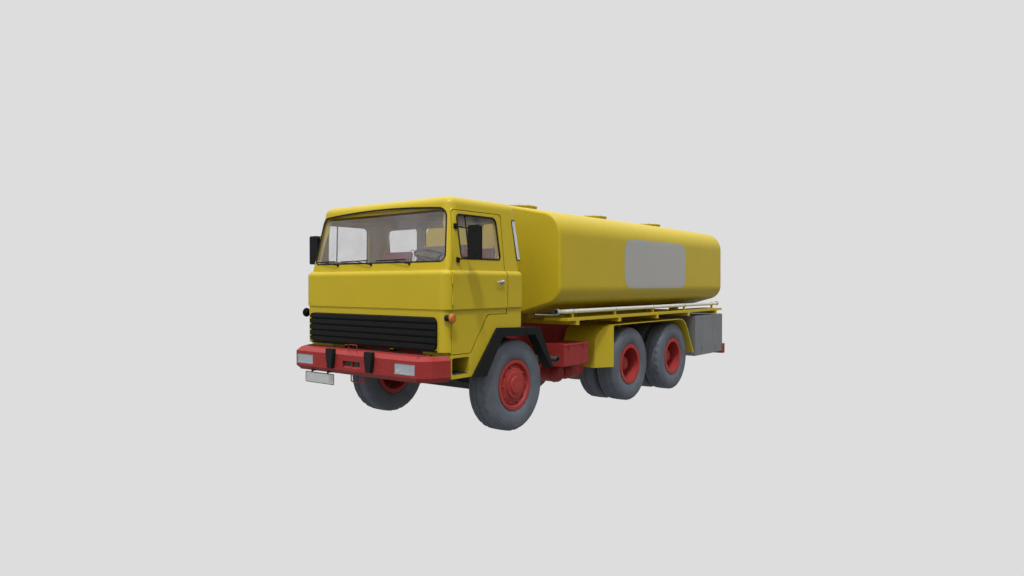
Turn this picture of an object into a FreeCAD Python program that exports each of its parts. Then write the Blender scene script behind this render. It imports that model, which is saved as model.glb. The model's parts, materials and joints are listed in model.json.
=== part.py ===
# Fuel tanker truck: three axles, a tilting cab over the front axle and a long low-crowned tank.
# Millimetres. +Z is up, the front of the truck faces -Y and the driver's side is +X.
# The origin is on the ground, midway between the bumper guards and the rear beam.
import FreeCAD, Part
import math
import os
import re

import Sketcher

os.makedirs("parts", exist_ok=True)
document = FreeCAD.newDocument("tanker")
Vector = FreeCAD.Vector

# Driving dimensions. "behind" and "ahead" are distances from the front axle along the truck.
SIZES = [
    # whole truck
    ("overall_length", 8025),
    ("front_overhang", 1537),
    ("wheelbase", 2808),
    ("bogie_spacing", 1450),
    ("fit_gap", 0.3),
    # wheels
    ("tyre_radius", 548),
    ("tyre_half_width", 150),
    ("tyre_centre", 1050),
    ("twin_pitch", 335),
    ("bead_radius", 255),
    ("bead_half_width", 115),
    ("flange_radius", 300),
    ("flange_width", 19),
    ("rim_wall", 12),
    ("front_hub_radius", 105),
    ("rear_hub_radius", 100),
    ("rear_hub_end", 1100),
    ("spindle_radius", 35),
    ("rear_spindle_radius", 45),
    ("running_clearance", 0.05),
    # front axle and steering
    ("kingpin_offset", 950),
    ("kingpin_radius", 20),
    ("kingpin_eye_radius", 45),
    ("kingpin_eye_height", 96),
    ("beam_width", 90),
    ("beam_depth", 100),
    ("beam_drop", 70),
    ("steering_arm_reach", 220),
    ("steering_arm_inset", 90),
    ("tie_rod_radius", 18),
    # frame
    ("rail_outer", 430),
    ("rail_width", 80),
    ("rail_bottom", 790),
    ("rail_top", 1000),
    ("rail_front", 1167),
    ("subframe_top", 1205),
    ("rear_beam_half_width", 1200),
    ("rear_beam_bottom", 435),
    ("rear_beam_top", 617),
    ("rear_beam_depth", 120),
    # bumper
    ("bumper_half_width", 1245),
    ("bumper_front", 1486),
    ("bumper_wrap_end", 1172),
    ("bumper_bottom", 710),
    ("bumper_top", 985),
    ("bumper_wall", 55),
    ("bumper_corner_radius", 170),
    ("guard_offset", 340),
    ("lamp_inner", 716),
    ("lamp_outer", 1029),
    ("lamp_bottom", 789),
    ("lamp_top", 904),
    ("lamp_depth", 45),
    # cab
    ("cab_front", 1232),
    ("cab_rear", 115),
    ("cab_half_width", 1245),
    ("cab_inset", 18),
    ("cab_corner_radius", 120),
    ("panel_seam", 2600),
    ("crease_height", 1476),
    ("shoulder_height", 1900),
    ("shoulder_radius", 60),
    ("cab_wall", 45),
    ("cab_under_front", 1020),
    ("cab_under_rear", 1150),
    ("footwell_floor", 1060),
    ("platform_floor", 1265),
    ("screen_base_ahead", 1159),
    ("screen_top_ahead", 1040),
    ("roof_height", 2712),
    ("roof_half_width", 1113),
    ("roof_radius", 110),
    ("sill_bottom", 735),
    ("step_inner", 800),
    ("tilt_ahead", 1242),
    ("tilt_height", 970),
    ("tilt_pin_radius", 12),
    # doors
    ("door_front_ahead", 1142),
    ("door_rear_ahead", 202),
    ("door_bottom", 990),
    ("door_top", 2560),
    ("door_step_above_flare", 151),
    ("door_gap", 8),
    ("door_rear_gap", 18),
    ("hinge_height", 36),
    ("hinge_radius", 10),
    ("hinge_pin_radius", 4),
    ("hinge_clearance", 4),
    # wheel arch flares
    ("flare_inner", 1130),
    ("flare_outer", 1260),
    ("flare_top", 1249),
    # tank
    ("tank_front_behind", 868),
    ("tank_to_beam", 130),
    ("tank_half_width", 1240),
    ("tank_bottom", 1335),
    ("tank_top", 2892),
    ("tank_shoulder", 2644),
    ("tank_haunch", 1530),
    ("tank_top_radius", 1700),
    ("tank_shoulder_radius", 322),
    ("tank_haunch_radius", 250),
    ("tank_front_radius", 40),
    ("tank_rear_radius", 70),
    ("manhole_radius", 280),
    ("manhole_top", 2864),
    ("manhole_lid_thickness", 16),
    # walkways and side gear
    ("walkway_inner", 870),
    ("walkway_outer", 1245),
    ("walkway_top", 1300),
    ("walkway_thickness", 38),
    ("hose_tube_radius", 28),
    ("hose_tube_height", 1385),
    ("hose_tube_offset", 1160),
    ("hose_tube_step", 45),
    ("coupling_depth", 50),
    ("mudguard_inner", 567),
    ("mudguard_outer", 1245),
    ("mudguard_top", 1165),
    ("mudguard_bottom", 560),
    ("mudguard_sheet", 10),
    ("mudguard_bevel_width", 151),
    ("mudguard_bevel_length", 268),
    ("locker_bottom", 490),
    ("locker_top", 1190),
    ("locker_inner", 600),
    ("locker_outer", 1245),
    ("locker_wall", 15),
    ("locker_door", 20),
]

sizes = document.addObject("Spreadsheet::Sheet", "Sizes")
for row, (alias, value) in enumerate(SIZES, start=1):
    sizes.set("A%d" % row, alias.replace("_", " "))
    sizes.set("B%d" % row, str(value))
    sizes.setAlias("B%d" % row, alias)
document.recompute()

ALIASES = [alias for alias, value in SIZES]
WORD = re.compile(r"[a-z][a-z_]*")


class SheetReader:
    """Gives the sheet's numbers as attributes."""

    def __getattr__(self, alias):
        return float(sizes.get(alias))


s = SheetReader()
sub_parts = []

# Places that several pieces share
front_axle_y = s.front_overhang - s.overall_length / 2
rear_axle_ys = [front_axle_y + s.wheelbase, front_axle_y + s.wheelbase + s.bogie_spacing]
rear_end_y = s.overall_length / 2
mid_wheel_front_y = rear_axle_ys[0] - s.tyre_radius
rear_wheel_back_y = rear_axle_ys[1] + s.tyre_radius
rear_beam_front_y = rear_end_y - s.rear_beam_depth
tank_front_y = front_axle_y + s.tank_front_behind
tank_rear_y = rear_beam_front_y - s.tank_to_beam
door_step = s.flare_top + s.door_step_above_flare
FRONT_AXLE = "(front_overhang - overall_length / 2)"
REAR_AXLES = [FRONT_AXLE + " + wheelbase", FRONT_AXLE + " + wheelbase + bogie_spacing"]


def bound(text):
    """Expression text in which every alias of the sheet is read from the sheet."""
    return WORD.sub(lambda hit: "Sizes." + hit.group() if hit.group() in ALIASES else hit.group(), text)


def bind(piece, **expressions):
    for path, text in expressions.items():
        piece.setExpression(path.replace("__", "."), bound(text))


def keep(piece, label):
    piece.Label = label
    sub_parts.append(piece)
    return piece


def feature(label, *shapes):
    """A sub-part whose shape comes from Part's own functions."""
    piece = document.addObject("Part::Feature", label)
    piece.Shape = shapes[0] if len(shapes) == 1 else Part.makeCompound(list(shapes))
    piece.Placement = FreeCAD.Placement()
    return keep(piece, label)


def behind(distance):
    """y of a point this far behind the front axle."""
    return front_axle_y + distance


def ahead(distance):
    """y of a point this far ahead of the front axle."""
    return front_axle_y - distance


def between(share):
    """y at a share of the way from the front axle to the middle wheels."""
    return front_axle_y + share * (mid_wheel_front_y - front_axle_y)


def beyond(share):
    """y at a share of the way from the last wheels to the rear beam."""
    return rear_wheel_back_y + share * (rear_beam_front_y - rear_wheel_back_y)


def along_tank(share):
    """y at a share of the tank's length."""
    return tank_front_y + share * (tank_rear_y - tank_front_y)


def mirrored(shape):
    return shape.mirror(Vector(0, 0, 0), Vector(1, 0, 0))


def box(x0, x1, y0, y1, z0, z1):
    return Part.makeBox(x1 - x0, y1 - y0, z1 - z0, Vector(x0, y0, z0))


def rod(start, end, radius):
    start = Vector(*start)
    end = Vector(*end)
    return Part.makeCylinder(radius, (end - start).Length, start, end - start)


def fused(shapes):
    whole = shapes[0]
    for shape in shapes[1:]:
        whole = whole.fuse(shape)
    return whole.removeSplitter()


def to_space(axis, level):
    """Turns plane coordinates into space for a section square to an axis."""
    if axis == "x":
        return lambda a, b: Vector(level, a, b)
    if axis == "y":
        return lambda a, b: Vector(a, level, b)
    return lambda a, b: Vector(a, b, level)


def rounded_edges(corners, place, closed=True):
    """Lines joined by tangent arcs, from corners (a, b) or (a, b, radius)."""
    count = len(corners)
    points = [Vector(c[0], c[1], 0) for c in corners]
    radii = [c[2] if len(c) > 2 else 0 for c in corners]
    starts = []
    arcs = []
    for i in range(count):
        before = points[i - 1] - points[i]
        after = points[(i + 1) % count] - points[i]
        open_end = not closed and i in (0, count - 1)
        if radii[i] == 0 or open_end:
            starts.append((points[i], points[i]))
            arcs.append(None)
            continue
        before.normalize()
        after.normalize()
        half = before.getAngle(after) / 2
        reach = radii[i] / math.tan(half)
        bisector = before + after
        bisector.normalize()
        middle = points[i] + bisector * (radii[i] / math.sin(half) - radii[i])
        starts.append((points[i] + before * reach, points[i] + after * reach))
        arcs.append(middle)
    edges = []
    for i in range(count):
        entry, leave = starts[i]
        if arcs[i] is not None:
            edges.append(Part.Arc(place(entry.x, entry.y), place(arcs[i].x, arcs[i].y),
                                  place(leave.x, leave.y)).toShape())
        if closed or i < count - 1:
            following = starts[(i + 1) % count][0]
            if (following - leave).Length > 1e-6:
                edges.append(Part.LineSegment(place(leave.x, leave.y),
                                              place(following.x, following.y)).toShape())
    return edges


def outline(corners, axis="z", level=0.0):
    return Part.Wire(rounded_edges(corners, to_space(axis, level)))


def prism(corners, axis, low, high):
    """Solid between two levels of an axis; corners are (y, z), (x, z) or (x, y)."""
    direction = {"x": Vector(1, 0, 0), "y": Vector(0, 1, 0), "z": Vector(0, 0, 1)}[axis]
    return Part.Face(outline(corners, axis, low)).extrude(direction * (high - low))


def both_sides(shape):
    return [shape, mirrored(shape)]


def origin_plane(body, role):
    return [item for item in body.Origin.OriginFeatures if item.Role == role][0]


def bound_sketch(body, name, role, corners):
    """Closed polygon on an origin plane; each corner is a pair of expressions held by constraints."""
    sketch = body.newObject("Sketcher::SketchObject", name)
    sketch.AttachmentSupport = [(origin_plane(body, role), "")]
    sketch.MapMode = "FlatFace"
    values = []
    for across, up in corners:
        holder = document.addObject("App::VarSet", "Corner")
        holder.addProperty("App::PropertyFloat", "Across")
        holder.addProperty("App::PropertyFloat", "Up")
        bind(holder, Across=across, Up=up)
        values.append(holder)
    document.recompute()
    points = [Vector(v.Across, v.Up, 0) for v in values]
    count = len(points)
    for i in range(count):
        sketch.addGeometry(Part.LineSegment(points[i], points[(i + 1) % count]), False)
    for i in range(count):
        sketch.addConstraint(Sketcher.Constraint("Coincident", i, 2, (i + 1) % count, 1))
    for i, point in enumerate(points):
        for kind, number, text in (("DistanceX", point.x, corners[i][0]), ("DistanceY", point.y, corners[i][1])):
            place = sketch.addConstraint(Sketcher.Constraint(kind, -1, 1, i, 1, number))
            sketch.setExpression("Constraints[%d]" % place, bound(text))
    for holder in values:
        document.removeObject(holder.Name)
    return sketch


def turned_body(label, profiles):
    """Body of revolution about its own X axis, from profiles of (along, radius) expressions."""
    body = document.addObject("PartDesign::Body", label)
    body.AllowCompound = True
    for number, corners in enumerate(profiles):
        sketch = bound_sketch(body, label + "_profile%d" % number, "XY_Plane", corners)
        turn = body.newObject("PartDesign::Revolution", label + "_turn%d" % number)
        turn.Profile = sketch
        turn.ReferenceAxis = (sketch, ["H_Axis"])
        turn.Angle = 360
        sketch.Visibility = False
    return body


# Wheels

# Half of the tyre's section as (across, radius); the other half mirrors it.
TYRE_HALF = [
    ("bead_half_width", "bead_radius"),
    ("bead_half_width", "flange_radius + 2"),
    ("tyre_half_width - 12", "flange_radius + 30"),
    ("tyre_half_width", "tyre_radius * 0.75"),
    ("tyre_half_width - 8", "tyre_radius - 45"),
    ("tyre_half_width - 34", "tyre_radius - 10"),
    ("tyre_half_width - 70", "tyre_radius"),
]


def tyre_profile(centre):
    right = [("%s + (%s)" % (centre, across), radius) for across, radius in TYRE_HALF]
    left = [("%s - (%s)" % (centre, across), radius) for across, radius in TYRE_HALF]
    return right + left[::-1]


def front_rim_profile():
    """Convex disc, raised hub ring and cap, and a blind bore for the stub axle."""
    centre = "tyre_centre"
    edge = "(bead_half_width + 3)"
    barrel = "bead_radius - fit_gap"
    inside = "bead_radius - rim_wall"
    return [
        (centre + " + 165", "0"),
        (centre + " + 100", "0"),
        (centre + " + 100", "spindle_radius + running_clearance"),
        (centre + " - 12", "spindle_radius + running_clearance"),
        (centre + " - 12", "front_hub_radius"),
        (centre + " + 95", "front_hub_radius"),
        (centre + " + 104", "front_hub_radius + 75"),
        (centre + " + 80", inside),
        (centre + " - " + edge + " - flange_width", inside),
        (centre + " - " + edge + " - flange_width", "flange_radius"),
        (centre + " - " + edge, "flange_radius"),
        (centre + " - " + edge, barrel),
        (centre + " + " + edge, barrel),
        (centre + " + " + edge, "flange_radius"),
        (centre + " + " + edge + " + flange_width", "flange_radius"),
        (centre + " + " + edge + " + flange_width", "bead_radius + 5"),
        (centre + " + 100", inside),
        (centre + " + 122", "front_hub_radius + 85"),
        (centre + " + 128", "front_hub_radius + 52"),
        (centre + " + 146", "front_hub_radius + 48"),
        (centre + " + 148", "front_hub_radius - 2"),
        (centre + " + 162", "front_hub_radius - 8"),
    ]


def rear_rim_profile():
    """Two rims on one deep disc, with the hub standing out in the middle."""
    outer = "tyre_centre"
    inner = "(tyre_centre - twin_pitch)"
    middle = "(tyre_centre - twin_pitch / 2)"
    edge = "(bead_half_width + 3)"
    barrel = "bead_radius - fit_gap"
    inside = "bead_radius - rim_wall"
    return [
        ("rear_hub_end", "0"),
        ("rear_hub_end", "rear_hub_radius - 25"),
        ("rear_hub_end - 14", "rear_hub_radius"),
        (middle + " + 20", "rear_hub_radius"),
        (middle + " + 20", "rear_hub_radius + 60"),
        (outer + " - " + edge + " + 10", inside),
        (outer + " + " + edge + " + flange_width", inside),
        (outer + " + " + edge + " + flange_width", "flange_radius"),
        (outer + " + " + edge, "flange_radius"),
        (outer + " + " + edge, barrel),
        (outer + " - " + edge, barrel),
        (outer + " - " + edge, "flange_radius"),
        (outer + " - " + edge + " - flange_width", "flange_radius"),
        (outer + " - " + edge + " - flange_width", "bead_radius"),
        (inner + " + " + edge + " + flange_width", "bead_radius"),
        (inner + " + " + edge + " + flange_width", "flange_radius"),
        (inner + " + " + edge, "flange_radius"),
        (inner + " + " + edge, barrel),
        (inner + " - " + edge, barrel),
        (inner + " - " + edge, "flange_radius"),
        (inner + " - " + edge + " - flange_width", "flange_radius"),
        (inner + " - " + edge + " - flange_width", inside),
        (inner + " + " + edge + " - 10", inside),
        (middle + " - 5", "rear_hub_radius + 60"),
        (middle + " - 5", "rear_hub_radius"),
        ("tyre_centre - twin_pitch - 55", "rear_hub_radius"),
        ("tyre_centre - twin_pitch - 55", "rear_spindle_radius + running_clearance"),
        ("rear_hub_end - 60", "rear_spindle_radius + running_clearance"),
        ("rear_hub_end - 60", "0"),
    ]


# Wheel stations as (name, side, y expression, twin).
STATIONS = [
    ("front_left", 1, FRONT_AXLE, False),
    ("front_right", -1, FRONT_AXLE, False),
    ("mid_left", 1, REAR_AXLES[0], True),
    ("mid_right", -1, REAR_AXLES[0], True),
    ("rear_left", 1, REAR_AXLES[1], True),
    ("rear_right", -1, REAR_AXLES[1], True),
]


def make_wheels():
    for name, side, station, twin in STATIONS:
        centres = ["tyre_centre", "tyre_centre - twin_pitch"] if twin else ["tyre_centre"]
        tyre = turned_body("tyre_" + name, [tyre_profile(centre) for centre in centres])
        rim = turned_body("rim_" + name, [rear_rim_profile() if twin else front_rim_profile()])
        for body in (tyre, rim):
            turn = FreeCAD.Rotation(Vector(0, 0, 1), 0 if side > 0 else 180)
            body.Placement = FreeCAD.Placement(Vector(0, 0, 0), turn)
            bind(body, Placement__Base__y=station, Placement__Base__z="tyre_radius")
            keep(body, body.Label)


# Front axle, steering and rear axles

def make_front_axle():
    """Dropped beam with a kingpin eye at each end, on the same node as the two rear axles."""
    height = s.tyre_radius
    half_beam = s.beam_width / 2
    low = height - s.beam_drop
    deep = s.beam_depth / 2
    reach = s.kingpin_offset - s.kingpin_eye_radius * 0.5
    flat = s.kingpin_offset - 180
    dropped = flat - 170
    half = deep * 0.8
    section = [
        (-reach, height - half), (-flat, height - half), (-dropped, low - half),
        (dropped, low - half), (flat, height - half), (reach, height - half),
        (reach, height + half), (flat, height + half), (dropped, low + half),
        (-dropped, low + half), (-flat, height + half), (-reach, height + half),
    ]
    beam = prism(section, "y", front_axle_y - half_beam, front_axle_y + half_beam)
    for side in (1, -1):
        x = side * s.kingpin_offset
        bottom = height - s.kingpin_eye_height / 2
        eye = rod((x, front_axle_y, bottom), (x, front_axle_y, bottom + s.kingpin_eye_height), s.kingpin_eye_radius)
        beam = beam.fuse(eye)
    for side in (1, -1):
        x = side * s.kingpin_offset
        hole = rod((x, front_axle_y, 0), (x, front_axle_y, 2 * height), s.kingpin_radius + s.running_clearance)
        beam = beam.cut(hole)
    return beam.removeSplitter()


def make_rear_axle(y):
    """Axle tube with its round drive housing and the spindles inside the hubs."""
    height = s.tyre_radius
    tube_end = s.tyre_centre - s.twin_pitch - 60
    tube = rod((-tube_end, y, height), (tube_end, y, height), 75)
    spindle = rod((-s.rear_hub_end + 65, y, height), (s.rear_hub_end - 65, y, height), s.rear_spindle_radius)
    housing = Part.makeCone(190, 130, 150, Vector(0, y, height), Vector(0, -1, 0))
    cover = Part.makeCone(190, 110, 110, Vector(0, y, height), Vector(0, 1, 0))
    return fused([tube, spindle, housing, cover])


def make_axles():
    feature("axle_beams", make_front_axle(), make_rear_axle(rear_axle_ys[0]), make_rear_axle(rear_axle_ys[1]))


def make_knuckle(side):
    """Fork and kingpin, stub axle and steering arm of one front wheel."""
    height = s.tyre_radius
    y = front_axle_y
    x = side * s.kingpin_offset
    half_eye = s.kingpin_eye_height / 2
    ear = 37
    slip = 1
    shapes = []
    for low in (height + half_eye + slip, height - half_eye - slip - ear):
        shapes.append(rod((x, y, low), (x, y, low + ear), s.kingpin_eye_radius))
        x0, x1 = sorted((x, x + side * 75))
        shapes.append(box(x0, x1, y - s.kingpin_eye_radius, y + s.kingpin_eye_radius, low, low + ear))
    x0, x1 = sorted((x + side * 50, x + side * 75))
    top = half_eye + slip + ear
    shapes.append(box(x0, x1, y - s.kingpin_eye_radius, y + s.kingpin_eye_radius, height - top, height + top))
    shapes.append(rod((x, y, height - top), (x, y, height + top), s.kingpin_radius))
    shapes.append(rod((x + side * 60, y, height), (side * (s.tyre_centre + 95), y, height), s.spindle_radius))
    eye_x = side * (s.kingpin_offset - s.steering_arm_inset)
    arm_z = height - half_eye - slip - ear
    x0, x1 = sorted((eye_x - side * 20, x))
    shapes.append(box(x0, x1, y - 22, y + 22, arm_z, arm_z + 30))
    x0, x1 = sorted((eye_x - 20, eye_x + 20))
    shapes.append(box(x0, x1, y, y + s.steering_arm_reach, arm_z, arm_z + 30))
    shapes.append(rod((eye_x, y + s.steering_arm_reach, arm_z), (eye_x, y + s.steering_arm_reach, arm_z + 30), 26))
    knuckle = fused(shapes)
    if side > 0:
        pin = rod((eye_x, y + s.steering_arm_reach, arm_z - 50), (eye_x, y + s.steering_arm_reach, arm_z), 10)
        knuckle = fused([knuckle, pin])
    return knuckle


def make_tie_rod():
    """Rod between the steering arms; its left end turns on the arm's pin, its right end lies under the arm."""
    height = s.tyre_radius
    arm_z = height - s.kingpin_eye_height / 2 - 38
    rod_z = arm_z - 25
    eye_x = s.kingpin_offset - s.steering_arm_inset
    y = front_axle_y + s.steering_arm_reach
    bar = rod((-eye_x, y, rod_z), (eye_x, y, rod_z), s.tie_rod_radius)
    ends = [rod((side * eye_x, y, rod_z - 20), (side * eye_x, y, rod_z + 20), 30) for side in (1, -1)]
    whole = fused([bar] + ends)
    hole = rod((eye_x, y, rod_z - 40), (eye_x, y, rod_z + 40), 10 + s.running_clearance)
    return whole.cut(hole)


def make_steering():
    feature("knuckle_left", make_knuckle(1))
    feature("knuckle_right", make_knuckle(-1))
    feature("tie_rod", make_tie_rod())


def make_leaf_springs():
    """Front springs under the rails and rear springs that bridge the two rear axles."""
    pieces = []
    middle = (s.rail_outer - s.rail_width / 2)
    beam_top = s.tyre_radius - s.beam_drop + s.beam_depth * 0.4
    y = front_axle_y
    front = prism([
        (y - 640, beam_top + 150), (y - 100, beam_top + s.fit_gap), (y + 100, beam_top + s.fit_gap),
        (y + 640, beam_top + 150), (y + 640, beam_top + 172), (y + 330, beam_top + 130),
        (y + 80, beam_top + 100), (y - 80, beam_top + 100), (y - 330, beam_top + 130),
        (y - 640, beam_top + 172),
    ], "x", middle - 40, middle + 40)
    hangers = [box(middle - 30, middle + 30, y + end - 25, y + end + 25, beam_top + 150, s.rail_bottom)
               for end in (-640, 640)]
    pieces += both_sides(fused([front] + hangers))
    y0, y1 = rear_axle_ys
    mid = (y0 + y1) / 2
    seat = s.tyre_radius + 75 + s.fit_gap
    rear = prism([
        (y0 - 110, seat), (y0 + 110, seat), (mid - 300, seat + 30), (mid + 300, seat + 30),
        (y1 - 110, seat), (y1 + 110, seat), (y1 + 110, seat + 24), (mid + 120, seat + 135),
        (mid - 120, seat + 135), (y0 - 110, seat + 24),
    ], "x", s.rail_outer, s.rail_outer + 90)
    bracket = box(s.rail_outer, s.rail_outer + 90, mid - 110, mid + 110, seat + 120, s.rail_bottom + 60)
    rear = fused([rear, bracket])
    pieces += both_sides(rear.translated(Vector(s.fit_gap, 0, 0)))
    feature("leaf_springs", *pieces)


def make_drivetrain():
    """Engine as one plain block, with the propeller shafts behind it."""
    engine = document.addObject("Part::Box", "engine_box")
    bind(engine, Length="600", Width="1030", Height="525", Placement__Base__x="-300",
         Placement__Base__y=FRONT_AXLE + " - 300", Placement__Base__z="600")
    shafts = []
    spans = [
        (FRONT_AXLE + " + 730", "wheelbase - 730 - 150 - fit_gap"),
        (REAR_AXLES[0] + " + 110 + fit_gap", "bogie_spacing - 110 - 150 - 2 * fit_gap"),
    ]
    for number, (start, length) in enumerate(spans):
        shaft = document.addObject("Part::Cylinder", "shaft%d" % number)
        shaft.Placement = FreeCAD.Placement(Vector(0, 0, 0), FreeCAD.Rotation(Vector(1, 0, 0), -90))
        bind(shaft, Radius="48", Height=length, Placement__Base__y=start, Placement__Base__z="tyre_radius + 60")
        shafts.append(shaft)
    joined = document.addObject("Part::MultiFuse", "engine_with_shaft")
    joined.Shapes = [engine, shafts[0]]
    whole = document.addObject("Part::Compound", "engine_and_shafts")
    whole.Links = [joined, shafts[1]]
    keep(whole, "engine_and_shafts")


# Frame

def make_frame():
    """Two rails with cross members, the tank's subframe, cab hinge ears and the rear beam."""
    inner = s.rail_outer - s.rail_width
    rear = rear_beam_front_y
    shapes = []
    for side in (1, -1):
        x0, x1 = sorted((side * inner, side * s.rail_outer))
        shapes.append(box(x0, x1, ahead(s.rail_front), rear, s.rail_bottom, s.rail_top))
        shapes.append(box(x0, x1, tank_front_y, rear, s.rail_top, s.subframe_top))
        shapes.append(box(x0, x1, rear - 60, rear, s.rear_beam_bottom, s.rail_bottom))
        shapes.append(box(x0, x1, behind(0), behind(80), s.rail_top, s.cab_under_rear - s.fit_gap))
        for ear in (inner, s.rail_outer - 2):
            x0, x1 = sorted((side * ear, side * (ear + 22)))
            shapes.append(box(x0, x1, ahead(s.tilt_ahead + 22), ahead(s.rail_front), s.tilt_height - 70,
                              s.tilt_height + 22))
        x0, x1 = sorted((side * inner, side * (s.rail_outer + 20)))
        shapes.append(rod((x0, ahead(s.tilt_ahead), s.tilt_height), (x1, ahead(s.tilt_ahead), s.tilt_height),
                          s.tilt_pin_radius))
    bogie_middle = (rear_axle_ys[0] + rear_axle_ys[1]) / 2
    for y in (ahead(s.rail_front - 87), tank_front_y - 18, between(0.752), bogie_middle, beyond(0.316), beyond(0.892)):
        shapes.append(box(-inner, inner, y, y + 70, s.rail_bottom + 20, s.rail_top - 20))
    shapes.append(box(-s.rear_beam_half_width, s.rear_beam_half_width, rear, rear_end_y, s.rear_beam_bottom,
                      s.rear_beam_top))
    bar = s.step_inner - 25
    shapes.append(box(-bar, bar, ahead(s.rail_front) - 12, ahead(s.rail_front) + 40, 800, 860))
    frame = fused(shapes)
    for side in (1, -1):
        x0, x1 = sorted((side * 850, side * 1130))
        frame = frame.cut(box(x0, x1, rear_end_y - 45, rear_end_y + 1, s.rear_beam_bottom + 35, s.rear_beam_top - 35))
    feature("chassis_frame", frame.removeSplitter())


# Bumper, guards and lamps

def bumper_plan(inset, back):
    """Plan outline of the bumper, drawn in by an inset; corners are (x, y, radius)."""
    half = s.bumper_half_width - inset
    front = ahead(s.bumper_front - inset)
    radius = s.bumper_corner_radius - inset
    return [(-half, back), (-half, front, radius), (half, front, radius), (half, back)]


def make_bumper():
    back = ahead(s.bumper_wrap_end)
    outer = prism(bumper_plan(0, back), "z", s.bumper_bottom, s.bumper_top)
    chamfer = 45
    lower = Part.makeLoft([outline(bumper_plan(chamfer, back), "z", s.bumper_bottom),
                           outline(bumper_plan(0, back), "z", s.bumper_bottom + chamfer)], True, True)
    upper = prism(bumper_plan(0, back), "z", s.bumper_bottom + chamfer, s.bumper_top)
    outer = fused([lower, upper])
    inside = prism(bumper_plan(s.bumper_wall, back + 1), "z", s.bumper_bottom - 1, s.bumper_top - 30)
    bumper = outer.cut(inside)
    half = s.bumper_half_width - s.bumper_wall
    bumper = bumper.cut(box(-half, half, ahead(s.tilt_ahead + 30), back + 1, s.bumper_top - 40, s.bumper_top + 1))
    for side in (1, -1):
        x0, x1 = sorted((side * s.lamp_inner, side * s.lamp_outer))
        bumper = bumper.cut(prism([(x0, s.lamp_bottom, 10), (x1, s.lamp_bottom, 10), (x1, s.lamp_top, 10),
                                   (x0, s.lamp_top, 10)], "y", ahead(s.bumper_front + 1),
                                  ahead(s.bumper_front - s.lamp_depth)))
    recess = box(-150, 150, ahead(s.bumper_front + 1), ahead(s.bumper_front - 30), 792, 872)
    bumper = bumper.cut(recess)
    for side in (1, -1):
        x0, x1 = sorted((side * 380, side * 420))
        stay = box(x0, x1, ahead(s.bumper_front - 30), ahead(s.rail_front + 12 + s.fit_gap), 805, 855)
        bumper = bumper.fuse(stay)
    feature("front_bumper", bumper.removeSplitter())


def make_guards():
    """Rubber guards in front of the bumper, wide at the top and narrow at the foot."""
    front = -s.overall_length / 2
    back = ahead(s.bumper_front) - s.fit_gap
    shape = prism([(-62, 1000, 8), (62, 1000, 8), (62, 930), (36, 775, 8), (-36, 775, 8), (-62, 930)],
                  "y", front, back)
    feature("bumper_guards", *[shape.translated(Vector(side * s.guard_offset, 0, 0)) for side in (1, -1)])


def make_lamps():
    """Headlamps in the bumper and tail lamps in the rear beam."""
    gap = s.fit_gap
    pieces = []
    for side in (1, -1):
        x0, x1 = sorted((side * s.lamp_inner, side * s.lamp_outer))
        pieces.append(prism([(x0 + gap, s.lamp_bottom + gap, 10), (x1 - gap, s.lamp_bottom + gap, 10),
                             (x1 - gap, s.lamp_top - gap, 10), (x0 + gap, s.lamp_top - gap, 10)], "y",
                            ahead(s.bumper_front - 6), ahead(s.bumper_front - s.lamp_depth + gap)))
        x0, x1 = sorted((side * 850, side * 1130))
        pieces.append(box(x0 + gap, x1 - gap, rear_end_y - 45 + gap, rear_end_y, s.rear_beam_bottom + 35 + gap,
                          s.rear_beam_top - 35 - gap))
    feature("lamps", *pieces)


# Cab

def cab_plan(half, front, rear, front_radius, rear_radius):
    return [(-half, front, front_radius), (half, front, front_radius), (half, rear, rear_radius),
            (-half, rear, rear_radius)]


def upper_cab(inset):
    """Tapered glasshouse with a rounded roof, drawn in from the outer surface by an inset."""
    low = cab_plan(s.roof_half_width + 84 - inset, ahead(s.screen_base_ahead - inset), behind(s.cab_rear - inset),
                   45, 110)
    high = cab_plan(s.roof_half_width - inset, ahead(s.screen_top_ahead - inset), behind(s.cab_rear - inset),
                    130, 130)
    solid = Part.makeLoft([outline(low, "z", s.shoulder_height - 0.5 * inset),
                           outline(high, "z", s.roof_height - inset)], True, True)
    top = [edge for edge in solid.Edges
           if min(v.Z for v in edge.Vertexes) > s.roof_height - inset - 1]
    return solid.makeFillet(s.roof_radius, top)


def cab_outside():
    """Lower body, proud belt with its rounded shoulder, and the glasshouse."""
    front = ahead(s.cab_front)
    rear = behind(s.cab_rear)
    half = s.cab_half_width
    corner = s.cab_corner_radius
    lower = prism(cab_plan(half - s.cab_inset, front + 10, rear, corner - 10, 80), "z", s.sill_bottom,
                  s.crease_height)
    belt = prism(cab_plan(half, front, rear, corner, 90), "z", s.crease_height, s.shoulder_height)
    top = [edge for edge in belt.Edges if min(v.Z for v in edge.Vertexes) > s.shoulder_height - 1]
    belt = belt.makeFillet(s.shoulder_radius, top)
    lower = lower.cut(under_cab())
    return fused([lower, belt, upper_cab(0)])


def under_cab():
    """What is cut away under the cab: the middle, the wheel spaces and the corners beside the bumper."""
    low = s.sill_bottom - 10
    front = ahead(s.cab_front + 100)
    rear = behind(s.cab_rear + 100)
    middle = prism([(front, low), (front, s.cab_under_front), (ahead(470), s.cab_under_front),
                    (ahead(375), s.cab_under_rear), (rear, s.cab_under_rear), (rear, low)],
                   "x", -s.step_inner, s.step_inner)
    wide = s.cab_half_width + 50
    corner = box(-wide, wide, front, ahead(s.door_front_ahead), low, s.cab_under_front)
    wheel = prism([(ahead(560), low), (ahead(560), 1000), (ahead(375), s.cab_under_rear),
                   (rear, s.cab_under_rear), (rear, low)], "x", -wide, wide)
    return fused([middle, corner, wheel])


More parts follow.
